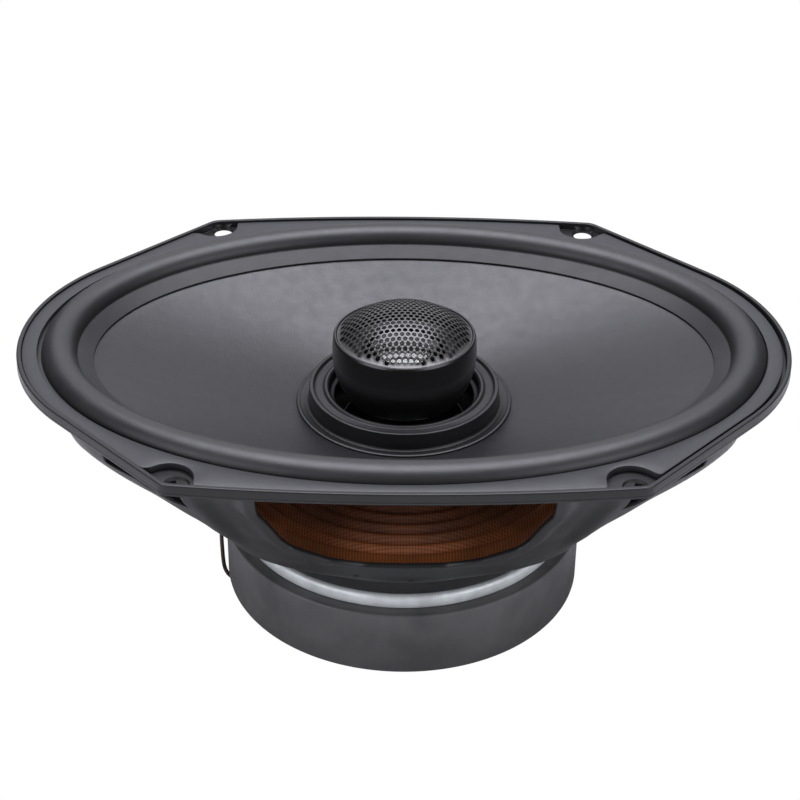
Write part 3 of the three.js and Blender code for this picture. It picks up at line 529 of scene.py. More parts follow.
brown_sleeve = material("brown_sleeve", (0.060, 0.034, 0.020), 0.5, mottle=(300.0, 0.3),
                        bumps=((1800.0, 0.02, 3.0),))
blue_sleeve = material("blue_sleeve", (0.018, 0.026, 0.045), 0.3, mottle=(150.0, 0.2),
                       bumps=((600.0, 0.02, 3.0),), coat=0.3)
black_cloth = material("black_cloth", (0.012, 0.012, 0.012), 0.8, mottle=(400.0, 0.3),
                       bumps=((2500.0, 0.05, 3.0),))
# The spider's lighter band from 46 to 56 mm radius is painted light, not the cloth's own colour.
spider_cloth = woven("spider_cloth", (0.04, 0.010, 0.004), (0.62, 0.19, 0.05), 0.88, (46, 56))


def piece(obj, node, finish, body="frame"):
    """Gives obj its finish and puts it in the place of a CAD node."""
    obj.data.materials.clear()
    obj.data.materials.append(finish)
    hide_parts(node)
    if body:
        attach(obj, body)
    return obj


def stretch(obj, weights):
    """Bakes obj's placement into its points, and nothing more; weights is not used."""
    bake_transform(obj)


def points_of(obj):
    co = np.zeros(len(obj.data.vertices) * 3)
    obj.data.vertices.foreach_get("co", co)
    return co.reshape(-1, 3) / MM


def radius_of(obj):
    return np.linalg.norm(points_of(obj)[:, :2], axis=1)


# ---- Flange outline

def outline_quarter(inset):
    """From the tip on +X to the middle of the long side on +Y."""
    normal = np.array((math.cos(DIAGONAL), math.sin(DIAGONAL)))
    along = np.array((-normal[1], normal[0]))
    side_centre = np.array((0, SIDE_HALF_WIDTH - SIDE_RADIUS))
    side_radius, end_radius = SIDE_RADIUS - inset, END_RADIUS - inset
    reach = END_CENTRE_X * normal[0] + end_radius - side_centre @ normal
    corner = side_centre + normal * reach + along * math.sqrt(side_radius ** 2 - reach ** 2)
    angle = np.linspace(0, DIAGONAL, 45)
    end = np.stack([END_CENTRE_X + end_radius * np.cos(angle), end_radius * np.sin(angle)], 1)
    fillet_from = corner - along * CORNER_FILLET
    straight = end[-1] + (fillet_from - end[-1]) * np.linspace(0, 1, 16)[1:-1, None]
    start = math.asin(corner[0] / side_radius) - CORNER_FILLET / side_radius

    def on_side(a):
        return np.stack([side_radius * np.sin(a), side_centre[1] + side_radius * np.cos(a)], -1)

    t = np.linspace(0, 1, 9)[:, None]
    fillet = (1 - t) ** 2 * fillet_from + 2 * t * (1 - t) * corner + t * t * on_side(start)
    return np.concatenate([end, straight, fillet, on_side(start * np.linspace(1, 0, 41)[1:])])


def four_ways(make):
    """A closed loop from a quarter path for each pair of signs, tip to middle of the long side."""
    def way(sx, sy):
        return make(sx) * (sx, sy)
    return np.concatenate([
        way(1, 1)[:-1],
        way(-1, 1)[::-1][:-1],
        way(-1, -1)[:-1],
        way(1, -1)[::-1][:-1],
    ])


def outline(inset):
    return four_ways(lambda sx: outline_quarter(inset))


def ellipse_at(directions, a, b):
    """Points on an ellipse in the same directions as the given ones."""
    d = unit(directions)
    return d / np.sqrt((d[:, 0:1] / a) ** 2 + (d[:, 1:2] / b) ** 2)


# ---- Basket

def wall_shape(depth):
    """The wall's half-length, half-width and exponent at a depth, without overshoot."""
    x = WALL[:, 0]
    step = np.diff(x)
    i = np.clip(np.searchsorted(x, depth) - 1, 0, len(step) - 1)
    t = (depth - x[i]) / step[i]
    out = []
    for y in WALL.T[1:]:
        slope = np.diff(y) / step
        product = slope[:-1] * slope[1:]
        total = np.where(product > 0, slope[:-1] + slope[1:], 1.0)
        inner = np.where(product > 0, 2 * product / total, 0.0)
        tangent = np.concatenate([[slope[0]], inner, [slope[-1]]])
        out.append(
            y[i] * (1 + 2 * t) * (1 - t) ** 2 + step[i] * tangent[i] * t * (1 - t) ** 2
            + y[i + 1] * t * t * (3 - 2 * t) + step[i] * tangent[i + 1] * t * t * (t - 1)
        )
    return out


def wall_point(flat):
    """The wall's outer surface, from its flat domain."""
    angle = np.radians(flat[:, 0] / ACROSS)
    depth = flat[:, 1] / DOWN
    a, b, n = wall_shape(depth)
    c, s = np.cos(angle), np.sin(angle)
    radius = (np.abs(c / a) ** n + np.abs(s / b) ** n) ** (-1 / n)
    return np.stack([radius * c, radius * s, up(depth)], 1)


def wall_frame(flat):
    """The surface's two tangents for a unit step in the domain, and its outward normal."""
    step = 0.02
    du = (wall_point(flat + (step, 0)) - wall_point(flat - (step, 0))) / (2 * step)
    dv = (wall_point(flat + (0, step)) - wall_point(flat - (0, step))) / (2 * step)
    return du, dv, unit(np.cross(dv, du))


def nearest(points, targets):
    """Distance from each point to the nearest target."""
    tree = kdtree.KDTree(len(targets))
    flat = targets.shape[1] == 2
    for i, target in enumerate(targets.tolist()):
        tree.insert(target + [0.0] if flat else target, i)
    tree.balance()
    return np.array([tree.find(p + [0.0] if flat else p)[2] for p in points.tolist()])


def window_loops():
    """The wall's openings in its flat domain, each as (degrees, depth, corner radius) points."""
    leg, crown = 60.8, 3.0
    half = [
        (leg, WINDOW_TOP, crown),
        (leg, 15.8, 4.0),
        (leg + 2.4, 26.5, 6.0),
        (leg + 3.9, 29.6, 5.0),
        (leg + 12, 33.9, 8.0),
        (leg + 19.5, 36.7, 8.0),
        (90, 37.5, 8.0),
    ]
    long_side = half + [(180 - angle, depth, r) for angle, depth, r in half[-2::-1]]
    small = [
        (30.7, WINDOW_TOP, 2.0),
        (46.2, WINDOW_TOP, 2.0),
        (46.1, 21.4, 2.0),
        (44.4, 22.6, 1.5),
        (42.0, 17.5, 4.0),
        (38.0, 13.3, 4.0),
        (31.1, 12.4, 1.0),
    ]
    low, high = math.degrees(BOARD_ANGLE) - 10.5, math.degrees(BOARD_ANGLE) + 10.5
    opening = [(low, 30.0, 4.0), (high, 30.0, 4.0), (high, 46.5, 4.0), (low, 46.5, 4.0)]
    loops = [long_side, [(angle + 180, depth, r) for angle, depth, r in long_side], opening]
    for start, way in ((0, 1), (180, -1), (180, 1), (360, -1)):
        loops.append([(start + way * angle, depth, r) for angle, depth, r in small])
    return loops


def basket_wall():
    low, high = WALL[0, 0] * DOWN, WALL[-1, 0] * DOWN
    turn = 360 * ACROSS
    windows = []
    for loop in window_loops():
        corners = rounded([(angle * ACROSS, depth * DOWN, r) for angle, depth, r in loop], 12)
        dense = []
        for a, b in zip(corners, np.roll(corners, -1, 0)):
            count = max(1, int(np.linalg.norm(b - a) / 0.7))
            dense += [a + (b - a) * k / count for k in range(count)]
        windows.append(np.array(dense))
    rim = np.concatenate([wall_point(w) for w in windows])

    across = np.linspace(0, turn, 361)
    down = np.linspace(low, high, 53)
    border = np.concatenate([
        np.stack([across[:-1], np.full(360, low)], 1),
        np.stack([np.full(52, turn), down[:-1]], 1),
        np.stack([across[:0:-1], np.full(360, high)], 1),
        np.stack([np.zeros(52), down[:0:-1]], 1),
    ])
    grid = np.stack(np.meshgrid(across[1:-1], down[1:-1]), -1).reshape(-1, 2)
    rings = []
    for window in windows:
        du, dv, normal = wall_frame(window)
        flat_along = np.roll(window, -1, 0) - np.roll(window, 1, 0)
        along = unit(du * flat_along[:, :1] + dv * flat_along[:, 1:])
        outward = np.cross(along, normal)
        basis = np.stack([du, dv], 2)
        solved = np.stack([np.linalg.lstsq(m, o, rcond=None)[0] for m, o in zip(basis, outward)])
        centre = window.mean(0)
        if ((solved * (window - centre)).sum(1) < 0).mean() > 0.5:
            solved = -solved
        for away in (0.12, 0.35, 0.8, 1.5, 2.3, 3.1, 3.9, 4.7, 5.6, 6.6, 7.8):
            ring = window + solved * away
            inside_sheet = (ring[:, 1] > low + 0.4) & (ring[:, 1] < high - 0.4)
            ring = ring[inside_sheet]
            near = nearest(wall_point(ring), rim)
            rings.append(ring[near > 0.85 * away])
    rings = np.concatenate(rings)
    clear = nearest(wall_point(grid), wall_point(rings)) > 0.8
    for window in windows:
        clear &= ~inside(grid, window)
    clear &= nearest(wall_point(grid), rim) > 0.8
    seeds = np.concatenate([rings, grid[clear]])

    def keep(points):
        held = np.ones(len(points), bool)
        for window in windows:
            held &= ~inside(points, window)
        return held

    def shaped(flat):
        """Depth of the pressed channels below the plain wall, and how far in from an edge."""
        point = wall_point(flat)
        away = nearest(point, rim)
        angle = flat[:, 0] / ACROSS
        depth = flat[:, 1] / DOWN
        quadrant = np.minimum(angle % 180, 180 - angle % 180)
        ridge, leg_end = 46.5, 66
        from_ridge = np.radians(quadrant - ridge) * np.linalg.norm(point[:, :2], axis=1)
        leg = (quadrant > ridge) & (quadrant < leg_end)
        dish = smooth((np.minimum(away, from_ridge) - 2.5) / 6.0) * np.where(leg, 2.2, 0.0)
        beyond = smooth(-from_ridge / 1.2) * smooth((from_ridge + 14) / 10)
        beyond *= smooth((depth - 19) / 5)
        end_leg = smooth((away - 4.2) / 5.0) * smooth((24 - quadrant) / 6)
        channel = (dish + end_leg) * smooth((depth - 7) / 5) * smooth((41 - depth) / 9)
        channel += 0.9 * beyond * smooth((49 - depth) / 4)
        return point, away, channel

    def rounding(away, radius=0.35):
        d = np.clip(away, 0, radius)
        return radius - np.sqrt(np.maximum(radius ** 2 - (radius - d) ** 2, 0))

    def top(flat):
        point, away, channel = shaped(flat)
        return point - wall_frame(flat)[2] * (channel + rounding(away))[:, None]

    def foot(flat):
        point, away, channel = shaped(flat)
        inward = WALL_THICKNESS + channel - rounding(away)
        return point - wall_frame(flat)[2] * inward[:, None]

    return sheet("wall", [border, *windows], seeds, keep, top, foot, seam=turn)


def basket():
    profile = rounded([
        (2.4, LIP_HEIGHT),
        (0.0, LIP_HEIGHT, 0.3),
        (0.0, 2.75, 0.25),
        (0.08, 2.5, 0.2),
        (0.08, 0.0, 0.4),
        (LIP_WIDTH, 0.0, 0.3),
        (LIP_WIDTH, FLOOR, 0.25),
        (2.4, FLOOR),
    ], closed=False)
    rings = [np.column_stack([outline(i), np.full(len(outline(i)), up(d))]) for i, d in profile]
    directions = rings[0][:, :2]
    bevel = 0.15
    for outward, depth in (
        (bevel, FLOOR),
        (0, FLOOR + bevel),
        (0, LIP_HEIGHT - bevel),
        (bevel, LIP_HEIGHT),
    ):
        hole = ellipse_at(directions, 106.0 + outward, 74.5 + outward)
        rings.append(np.column_stack([hole, np.full(len(hole), up(depth))]))
    flange = solid("flange", *skin(rings))

    holes = []
    for sx in (1, -1):
        for sy in (1, -1):
            hole = turned("hole", [
                (0, 1.0),
                (4.6, 1.0),
                (3.75, FLOOR - 0.02),
                (3.05, FLOOR + 0.6),
                (3.05, 5.0),
                (0, 5.0),
            ], 48)
            holes.append(shifted(hole, sx * SCREW_X, sy * SCREW_Y))
        notch = slab("notch", [rectangle(2.8, 2.8, 0.2)], -2, 8)
        tip = Matrix.Translation((sx * (TIP_X + 1.26) * MM, 0, 0))
        holes.append(moved(notch, tip @ Matrix.Rotation(math.pi / 4, 4, "Z")))
    combine(flange, holes, "DIFFERENCE")

    ring = turned("ring", [
        (51.85, 58.5, 0.3),
        (51.85, 52.9, 0.1),
        (50.35, 52.9, 0.1),
        (50.35, 57.0, 0.8),
        (26.0, 57.0, 0.3),
        (26.0, 58.5, 0.3),
    ], 192)
    unit_circle = circle(0, 0, 1, 240)
    exponent = 2.6
    reach = (np.abs(unit_circle / (66.0, 61.8)) ** exponent).sum(1) ** (-1 / exponent)
    ledge_edge = unit_circle * reach[:, None]
    ledge = slab("ledge", [ledge_edge, circle(0, 0, 57.5, 160)], 41.2, 42.7)
    lug = slab("lug", [rectangle(17.6, 12, 1.5)], 54.95, 56.45)
    moved(shifted(lug, 59.1), ON_BOARD)
    ear = slab("ear", [rectangle(8, 12, 1.2), circle(1.2, 0, 1.9)], -0.6, 0.6)
    on_end(ear, -0.7, 0, 52.4)
    body = combine(basket_wall(), [flange, ring, ledge, lug, ear], "UNION")
    cuts = at_rivets("hole", [(0, 54), (2.2, 54), (2.2, 60), (0, 60)], 32)
    for angle, depth in ((256.6, 46.6), (272.1, 49.6)):
        dent = turned("dent", [(0, -1.1), (0.8, -0.8), (1.1, 0), (0.8, 0.8), (0, 1.1)], 20)
        x, y, _ = wall_point(np.array([(angle * ACROSS, depth * DOWN)]))[0]
        cuts.append(shifted(dent, x, y, -depth))
    return combine(body, cuts, "DIFFERENCE")


# ---- Gasket

def gasket_quarter(side):
    """The gasket's edge from its tip to the middle of its long side, round a screw pocket."""
    inset = LIP_WIDTH + 0.6
    pocket_r = 7.1
    centre = np.array((62.6 - 1.1 * side, SCREW_Y))
    path = outline_quarter(inset)
    cusp_y = 72.4 + 0.9 * side
    before = path[path[:, 1] < cusp_y - 0.4]
    reach = END_CENTRE_X * math.cos(DIAGONAL) + END_RADIUS - inset
    cusp = np.array(((reach - cusp_y * math.sin(DIAGONAL)) / math.cos(DIAGONAL), cusp_y))
    start = math.radians(-52)
    on_circle = centre + pocket_r * np.array((math.cos(start), math.sin(start)))
    t = np.linspace(0, 1, 10)[:, None]
    a, d = cusp, on_circle
    b = a - 1.5 * unit(np.array((1.0, 0.15)))
    c = d + 1.5 * np.array((-math.sin(start), math.cos(start)))
    flare = (1 - t) ** 3 * a + 3 * t * (1 - t) ** 2 * b + 3 * t * t * (1 - t) * c + t ** 3 * d
    angle = np.linspace(start, -math.pi, 28)[1:]
    bow = centre + pocket_r * np.stack([np.cos(angle), np.sin(angle)], 1)
    mouth_x = centre[0] - pocket_r

    def side_point(x):
        return x, SIDE_HALF_WIDTH - SIDE_RADIUS + math.sqrt((SIDE_RADIUS - inset) ** 2 - x ** 2)

    wall = rounded([
        (mouth_x, SCREW_Y),
        (*side_point(mouth_x), 0.7),
        side_point(mouth_x - 4),
    ], 5, closed=False)[1:-1]
    after = path[(path[:, 0] < mouth_x - 3) & (path[:, 1] > 60)]
    return np.concatenate([before, flare, bow, wall, after])


def gasket():
    edge = four_ways(gasket_quarter)
    hole = circle(0, 0, 1, 320) * (111.0, 79.0)
    off_centre = -0.5
    return shifted(slab("gasket", [edge, hole], 0.5, 2.55, edge=0.3), off_centre)


# ---- Moving system

def surround():
    half = ROLL_WIDTH / 2
    angle = np.linspace(0, math.pi, 25)
    rise = 4.525

    def roll(width, height, base):
        slope = (ROLL_INNER_FOOT - ROLL_FOOT) * angle / math.pi
        return np.stack([half - width * np.cos(angle), base + slope - height * np.sin(angle)], 1)

    upper = roll(half, rise, ROLL_FOOT)
    lower = roll(half - SKIN, rise - SKIN, ROLL_FOOT + SKIN)[::-1]
    foot, land = -3.0, ROLL_WIDTH + LAND_WIDTH
    chain = [(foot, ROLL_FOOT, 0.2), (*upper[0], 0.5)]
    chain += [tuple(p) for p in upper[1:-1]]
    chain += [(*upper[-1], 0.6), (land, LAND_DEPTH, 0.2), (land, LAND_DEPTH + SKIN, 0.1)]
    chain += [(*lower[0], 0.2)] + [tuple(p) for p in lower[1:-1]] + [(*lower[-1], 0.2)]
    chain += [(foot, ROLL_FOOT + SKIN, 0.1)]
    rings = [oval_ring(ROLL_A - i, ROLL_B - i, d) for i, d in rounded(chain, 3)]
    return solid("surround_skin", *skin(rings), sharp=50)


def inward_of(points):
    """How far in from the roll's outer ellipse each point lies, by halving."""
    low = np.full(len(points), -6.0)
    high = np.full(len(points), 24.0)
    for _ in range(30):
        middle = (low + high) / 2
        level = (points[:, 0] / (ROLL_A - middle)) ** 2 + (points[:, 1] / (ROLL_B - middle)) ** 2
        low = np.where(level < 1, middle, low)
        high = np.where(level < 1, high, middle)
    return low


def cone():
    under_land, thickness = 0.75, 0.9
    inset = 0.6
    along = (inset + SKIN) / (LAND_WIDTH + SKIN)
    outer = ROLL_WIDTH + inset
    outer_depth = ROLL_INNER_FOOT + (LAND_DEPTH - ROLL_INNER_FOOT) * along + under_land
    rim = ROLL_WIDTH + LAND_WIDTH
    rim_depth = LAND_DEPTH + under_land
    rings = [
        (ROLL_A - outer, ROLL_B - outer, outer_depth),
        (ROLL_A - rim, ROLL_B - rim, rim_depth),
    ]
    collar_r, collar_depth = 33.2, 22.3
    for t in np.linspace(0, 1, 22)[1:-1]:
        bow = 0.25 * math.sin(math.pi * t)
        a = (ROLL_A - rim) * (1 - t) + collar_r * t
        b = (ROLL_B - rim) * (1 - t) + collar_r * t
        rings.append((a, b, rim_depth * (1 - t) + collar_depth * t + bow))
    throat = [(collar_r, collar_depth), (28.6, 24.4), (24.0, 26.3), (21.6, 27.6), (19.35, 30.0)]
    rings += [(r, r, d) for r, d in throat]
    under = [(a, b, d + thickness) for a, b, d in rings[::-1]]
    chain = [oval_ring(a, b, d) for a, b, d in rings + under]
    return solid("cone_shell", *skin(chain), sharp=45)


def spider():
    flat, inner, outer, thickness = 40.65, 19.5, 61.6, 0.5
    first, last, waves, height = 21.05, SPIDER_EDGE, 7, 1.0
    t = np.linspace(0, 1, 127)
    r = first + (last - first) * t
    fade = np.minimum(1, np.minimum(t, 1 - t) * 16)
    d = flat - height * np.sin(2 * math.pi * waves * t) * fade
    top = [(inner, flat), *zip(r, d), (outer, flat)]
    bottom = [(a, b + thickness) for a, b in top[::-1]]
    return turned("spider_cloth_disc", top + bottom, 240, sharp=60)


# ---- Tweeter grille

def grille():
    pitch, hole_r, sides = 1.8, 0.7, 16
    base, rise, rim_r, thickness = -0.9, 8.4, 20.5, 0.45
    edge_width, edge_drop = 0.16, 0.07
    sphere = (rim_r ** 2 + rise ** 2) / (2 * rise)
    centres = []
    for row in range(-16, 17):
        for column in range(-16, 17):
            centre = np.array((pitch * (column + 0.5 * (row % 2)), pitch * math.sqrt(0.75) * row))
            if np.linalg.norm(centre) < rim_r - hole_r - 0.1:
                centres.append(centre)
    centres = np.array(centres)
    holes = [circle(x, y, hole_r, sides) for x, y in centres]
    edge = circle(0, 0, rim_r + 0.2, 180)
    third = pitch / (2 * math.sqrt(3))
    middles = np.concatenate([centres + (pitch / 2, third), centres + (pitch / 2, -third)])
    middles = middles[np.linalg.norm(middles, axis=1) < rim_r - 0.3]
    middles = middles[nearest(middles, centres) > hole_r + 0.1]

    def keep(points):
        held = np.linalg.norm(points, axis=1) < rim_r + 0.2
        return held & (nearest(points, centres) > hole_r * 0.98)

    def layer(inward):
        def place(flat):
            r = np.linalg.norm(flat, axis=1)
            dome = np.sqrt(np.maximum(sphere ** 2 - np.minimum(r, rim_r) ** 2, 0)) - (sphere - rise)
            away = np.clip(nearest(flat, centres) - hole_r, 0, edge_width)
            soft = edge_drop * (1 - away / edge_width) ** 2
            height = -base + dome - inward * thickness - soft * (1 - 2 * inward)
            return np.column_stack([flat, LIP_TOP + height])
        return place

    seeds = np.concatenate([circle(0, 0, rim_r, 180), middles])
    return sheet("grille_mesh", [edge, *holes], seeds, keep, layer(0), layer(1), sharp=55)


# ---- All pieces

piece(basket(), "basket", black_paint).name = "basket_pressing"
piece(gasket(), "gasket_ring", gasket_rubber).name = "gasket_moulding"

skin_piece = piece(surround(), "surround", roll_rubber, None)
stretch(skin_piece, smooth(inward_of(points_of(skin_piece)) / ROLL_WIDTH))
piece(cone(), "cone", pulp, "cone")

collar = turned("collar_moulding", [
    (33.4, 22.15, 0.1),
    (33.35, 21.7, 0.25),
    (32.7, 21.6, 0.3),
    (32.2, 21.85, 0.3),
    (30.2, 22.35, 0.5),
    (29.55, 21.9, 0.5),
    (29.4, 16.65, 0.35),
    (28.3, 16.6, 0.3),
    (27.7, 17.5, 0.4),
    (27.1, 17.75, 0.3),
    (25.3, 17.45, 0.6),
    (24.6, 16.85, 0.4),
    (23.9, 16.8, 0.4),
    (23.3, 17.4, 0.5),
    (22.9, 19.7, 0.4),
    (21.7, 20.2, 0.3),
    (21.6, 21.4, 0.3),
    (23.8, 21.3, 0.5),
    (24.4, 18.9, 0.5),
    (27.2, 19.2, 0.3),
    (28.0, 19.4, 0.4),
    (28.1, 23.1, 0.3),
    (28.2, 24.2, 0.1),
    (30.2, 23.35, 0.1),
], 192)
piece(collar, "cone_collar", collar_black, "cone")

former = turned("former_tube", [
    (19.3, 29.2, 0.1),
    (19.3, 68.5, 0.1),
    (18.9, 68.5, 0.1),
    (18.9, 29.2, 0.1),
])
piece(former, "voice_coil_former", anodised, "cone")
turns, coil_top, coil_height = 34, 53.6, 14.0
wound = [(19.35, coil_top)]
for k in range(turns):
    for r, part in ((20.0, 0.15), (20.1, 0.5), (20.0, 0.85)):
        wound.append((r, coil_top + coil_height * (k + part) / turns))
wound.append((19.35, coil_top + coil_height))
winding = turned("winding_turns", wound, 96)
piece(winding, "voice_coil_winding", copper, "cone")

cloth = piece(spider(), "spider", spider_cloth, None)
stretch(cloth, smooth((SPIDER_EDGE - radius_of(cloth)) / 36.0))

plate = turned("top_plate_disc", [
    (20.9, 58.55, 0.4),
    (53.2, 58.55, 1.5),
    (53.2, 62.8, 0.5),
    (20.9, 62.8, 0.4),
], 224, 8)
combine(plate, at_rivets("cut", [(0, 57), (2.2, 57), (2.2, 65), (0, 65)], 32), "DIFFERENCE")
piece(plate, "top_plate", zinc)
ring_magnet = turned("magnet_ring", [
    (26, 62.85, 0.6),
    (56.8, 62.85, 0.8),
    (56.8, 84.4, 0.8),
    (26, 84.4, 0.6),
], 224)
piece(ring_magnet, "magnet", ferrite)

yoke = turned("yoke_forging", [
    (9.0, 90.0, 0.5),
    (50.0, 90.0, 1.4),
    (50.0, 84.45, 0.8),
    (18.2, 84.45, 0.8),
    (18.2, 57.4, 0.6),
    (4.3, 57.4, 0.4),
    (4.3, 84.5, 0.3),
    (9.0, 84.5, 0.4),
], 192, 5)
groove = slab("groove", [rectangle(50, 2.6, 0.3)], 87.8, 93)
moved(shifted(groove, 30), Matrix.Rotation(math.radians(LEAD_ANGLE), 4, "Z"))
piece(combine(yoke, [groove], "DIFFERENCE"), "yoke", zinc)

rivets = at_rivets("rivet", [
    (0, 56.05),
    (2.7, 56.15, 0.5),
    (3.2, 56.95, 0.2),
    (2.0, 56.95, 0.1),
    (2.0, 62.5, 0.2),
    (0, 62.5),
], 40)
for rivet in rivets:
    piece(rivet, f"frame_{rivet.name}", steel)

post = turned("post_bolt", [
    (2.2, 16.2, 0.3),
    (6.5, 16.2, 0.5),
    (6.5, 17.45, 0.2),
    (4.0, 17.45, 0.1),
    (4.0, 87.0, 0.5),
    (2.2, 87.0, 0.2),
], 64)
piece(post, "tweeter_post", steel)
sleeve = turned("sleeve_spacer", [
    (4.3, 20.05, 0.2),
    (7.6, 20.05, 0.4),
    (6.8, 23.0, 1.5),
    (6.8, 54.4, 1.5),
    (8.4, 57.35, 0.4),
    (4.3, 57.35, 0.2),
], 72)
piece(sleeve, "post_sleeve", gloss_black)
hexagon = rounded([(*p, 0.4) for p in circle(0, 0, 12 / math.sqrt(3), 6)], 3)
nut = slab("hex_nut", [hexagon, circle(0, 0, 4.1, 40)], 84.55, 86.55, edge=0.35)
piece(nut, "post_nut", steel)

housing = turned("housing_shell", [
    (4.3, 20.0, 0.2),
    (16.6, 20.0, 1.2),
    (18.2, 18.9, 2.0),
    (20.3, 14.6, 4.0),
    (21.75, 9.8, 6.0),
    (22.2, 6.0, 6.0),
    (22.15, 2.5, 6.0),
    (21.9, -0.5, 1.2),
    (21.5, -1.15, 0.2),
    (21.0, -1.15, 0.12),
    (20.75, -0.6, 0.15),
    (20.7, 1.2, 0.2),
    (19.9, 1.6, 0.3),
    (19.9, 13.0, 1.0),
    (16.4, 17.5, 1.0),
    (4.3, 17.5, 0.2),
], 192, 5)
piece(housing, "tweeter_housing", gloss_black)
cup = turned("cup_steel", [
    (0, 14.5),
    (13.3, 14.5, 0.4),
    (13.3, 6.4, 0.3),
    (15.5, 6.4, 0.4),
    (15.5, 16.0, 1.0),
    (0, 16.0),
], 96)
piece(cup, "tweeter_cup", zinc)
disc = turned("magnet_disc", [(0, 10.5), (11.6, 10.5, 0.3), (11.6, 14.45, 0.3), (0, 14.45)], 96)
piece(disc, "tweeter_magnet", steel)
pole = turned("pole_disc", [(0, 8.4), (12.0, 8.4, 0.3), (12.0, 10.45, 0.2), (0, 10.45)], 96)
piece(pole, "tweeter_pole_plate", zinc)
face = turned("face_moulding", [
    (13.4, 6.35, 0.1),
    (13.4, 5.2, 0.1),
    (16.6, 5.2, 0.3),
    (17.4, 4.6, 0.5),
    (19.65, 4.0, 0.3),
    (19.7, 6.35, 0.2),
], 128)
piece(face, "tweeter_face_ring", gloss_black)

arc = np.linspace(0, math.pi, 13)
roll_top = [(14.2 - 1.35 * math.cos(a), 5.1 - 1.1 * math.sin(a)) for a in arc]
roll_foot = [(14.2 - 1.05 * math.cos(a), 5.1 - 0.8 * math.sin(a)) for a in arc[::-1]]
suspension = turned("suspension_roll", roll_top + [(16.4, 5.1), (16.4, 5.15)] + roll_foot, 96, sharp=60)
suspension = piece(suspension, "tweeter_suspension", black_cloth, None)
stretch(suspension, smooth((15.6 - radius_of(suspension)) / 2.7))

arc = np.linspace(0, math.pi / 2, 19)
shell = [(12.6 * math.sin(a), 5.1 - 4.4 * math.cos(a)) for a in arc]
shell += [(12.2 * math.sin(a), 5.1 - 4.0 * math.cos(a)) for a in arc[::-1]]
piece(turned("dome_shell", shell, 128), "tweeter_dome", silver, "dome")
coil = turned("coil_ring", [
    (12.35, 5.2, 0.1),
    (12.75, 5.2, 0.1),
    (12.75, 9.6, 0.1),
    (12.35, 9.6, 0.1),
], 96)
piece(coil, "tweeter_coil", copper, "dome")
piece(grille(), "tweeter_grille", black_steel)

# ---- Wiring

board = slab("board_panel", [rectangle(18, 20, 1.5), circle(-1.8, 0, 1.8)], -1, 1, edge=0.25)
piece(on_end(board, 1.0, 0, 53), "terminal_board", fibre)
eyelet = turned("eyelet", [
    (0, -0.9),
    (2.4, -0.9, 0.4),
    (3.0, -0.05, 0.1),
    (1.6, -0.05, 0.1),
    (1.6, 3.2, 0.3),
    (0, 3.2),
], 40)
piece(on_end(eyelet, 2.0, 0, 51.2), "terminal_rivet", steel)
for name, width, tangential in (("positive", 6.3, -6.3), ("negative", 4.8, 6.3)):
    half, length = width / 2, 27.6 / 2
    blade = rounded([
        (-length, -half * 0.7, 0.5),
        (-length, half * 0.7, 0.5),
        (-length + 2.5, half, 0.8),
        (length - 1.6, half, 0.5),
        (length, half - 1.0, 0.4),
        (length, 1.0 - half, 0.4),
        (length - 1.6, -half, 0.5),
        (-length + 2.5, -half, 0.8),
    ], 4)
    holes = [circle(length - 3.5, 0, 0.8, 24), circle(-length + 1.8, 0, 0.6, 20)]
    tab = slab(f"blade_{name}", [blade[::-1], *holes], -0.4, 0.4, edge=0.15)
    piece(on_end(tab, 2.45, tangential, 55.2), f"terminal_tab_{name}", brass)

board_degrees = math.degrees(BOARD_ANGLE)
for name, side in (("positive", -1), ("negative", 1)):
    end = ON_BOARD @ Vector((BOARD_R + 1.2, 6.3 * side, up(42.6)))
    angle = board_degrees + 10 * side
    half_way = board_degrees + 5 * side
    wire = tube(f"braid_{name}", [
        polar(29.5, angle, 25.3),
        polar(33, angle, 29.5),
        polar(41, angle, 33.5),
        polar(50, half_way, 35),
        polar(61, half_way, 36.3),
        polar(67, half_way, 38.6),
        np.array(end),
    ], 0.6, 12, 12)
    piece(wire, f"tinsel_lead_{name}", braid, None)
    stretch(wire, smooth((58 - radius_of(wire)) / 24))

run = 88.85
lead = tube("sleeved_lead", [
    (0, 0, up(18.5)),
    (0, 0, up(50)),
    (0, 0, up(run - 4)),
    polar(1.2, LEAD_ANGLE, run - 0.7),
    polar(4, LEAD_ANGLE, run),
    polar(26, LEAD_ANGLE, run),
    polar(51, LEAD_ANGLE, run),
    polar(55.5, LEAD_ANGLE, run - 1),
    polar(58.0, LEAD_ANGLE, run - 5),
    polar(58.6, LEAD_ANGLE - 1, 77),
    polar(58.8, LEAD_ANGLE - 5, 70),
    polar(59.4, 172, 65),
    polar(62.5, 160, 61.5),
    polar(67.4, 151.5, 60),
], 0.65, 10, 14)
piece(lead, "tweeter_lead", brown_sleeve)

can = turned("capacitor_can", [
    (0, -9),
    (4.3, -9, 0.4),
    (5.0, -8.3, 0.6),
    (5.0, 6.4, 0.6),
    (4.5, 6.8, 0.3),
    (4.5, 7.4, 0.3),
    (5.0, 7.8, 0.4),
    (4.5, 9, 0.5),
    (0, 9),
], 72)
shifted(moved(shifted(can, z=-LIP_TOP), UPRIGHT), 0, CAPACITOR_Y, up(CAPACITOR_DEPTH))
piece(can, "crossover_capacitor", blue_sleeve)
start_x = -9.35
tail = tube("capacitor_tail", [
    (start_x, CAPACITOR_Y, up(CAPACITOR_DEPTH)),
    (start_x - 6, CAPACITOR_Y + 0.6, up(CAPACITOR_DEPTH + 2)),
    polar(61.5, 116, 58),
    polar(63.5, 127, 60),
    polar(67.2, 137.5, 59.5),
], 0.65, 12, 14)
piece(tail, "capacitor_lead", brown_sleeve)

# ---- Stage

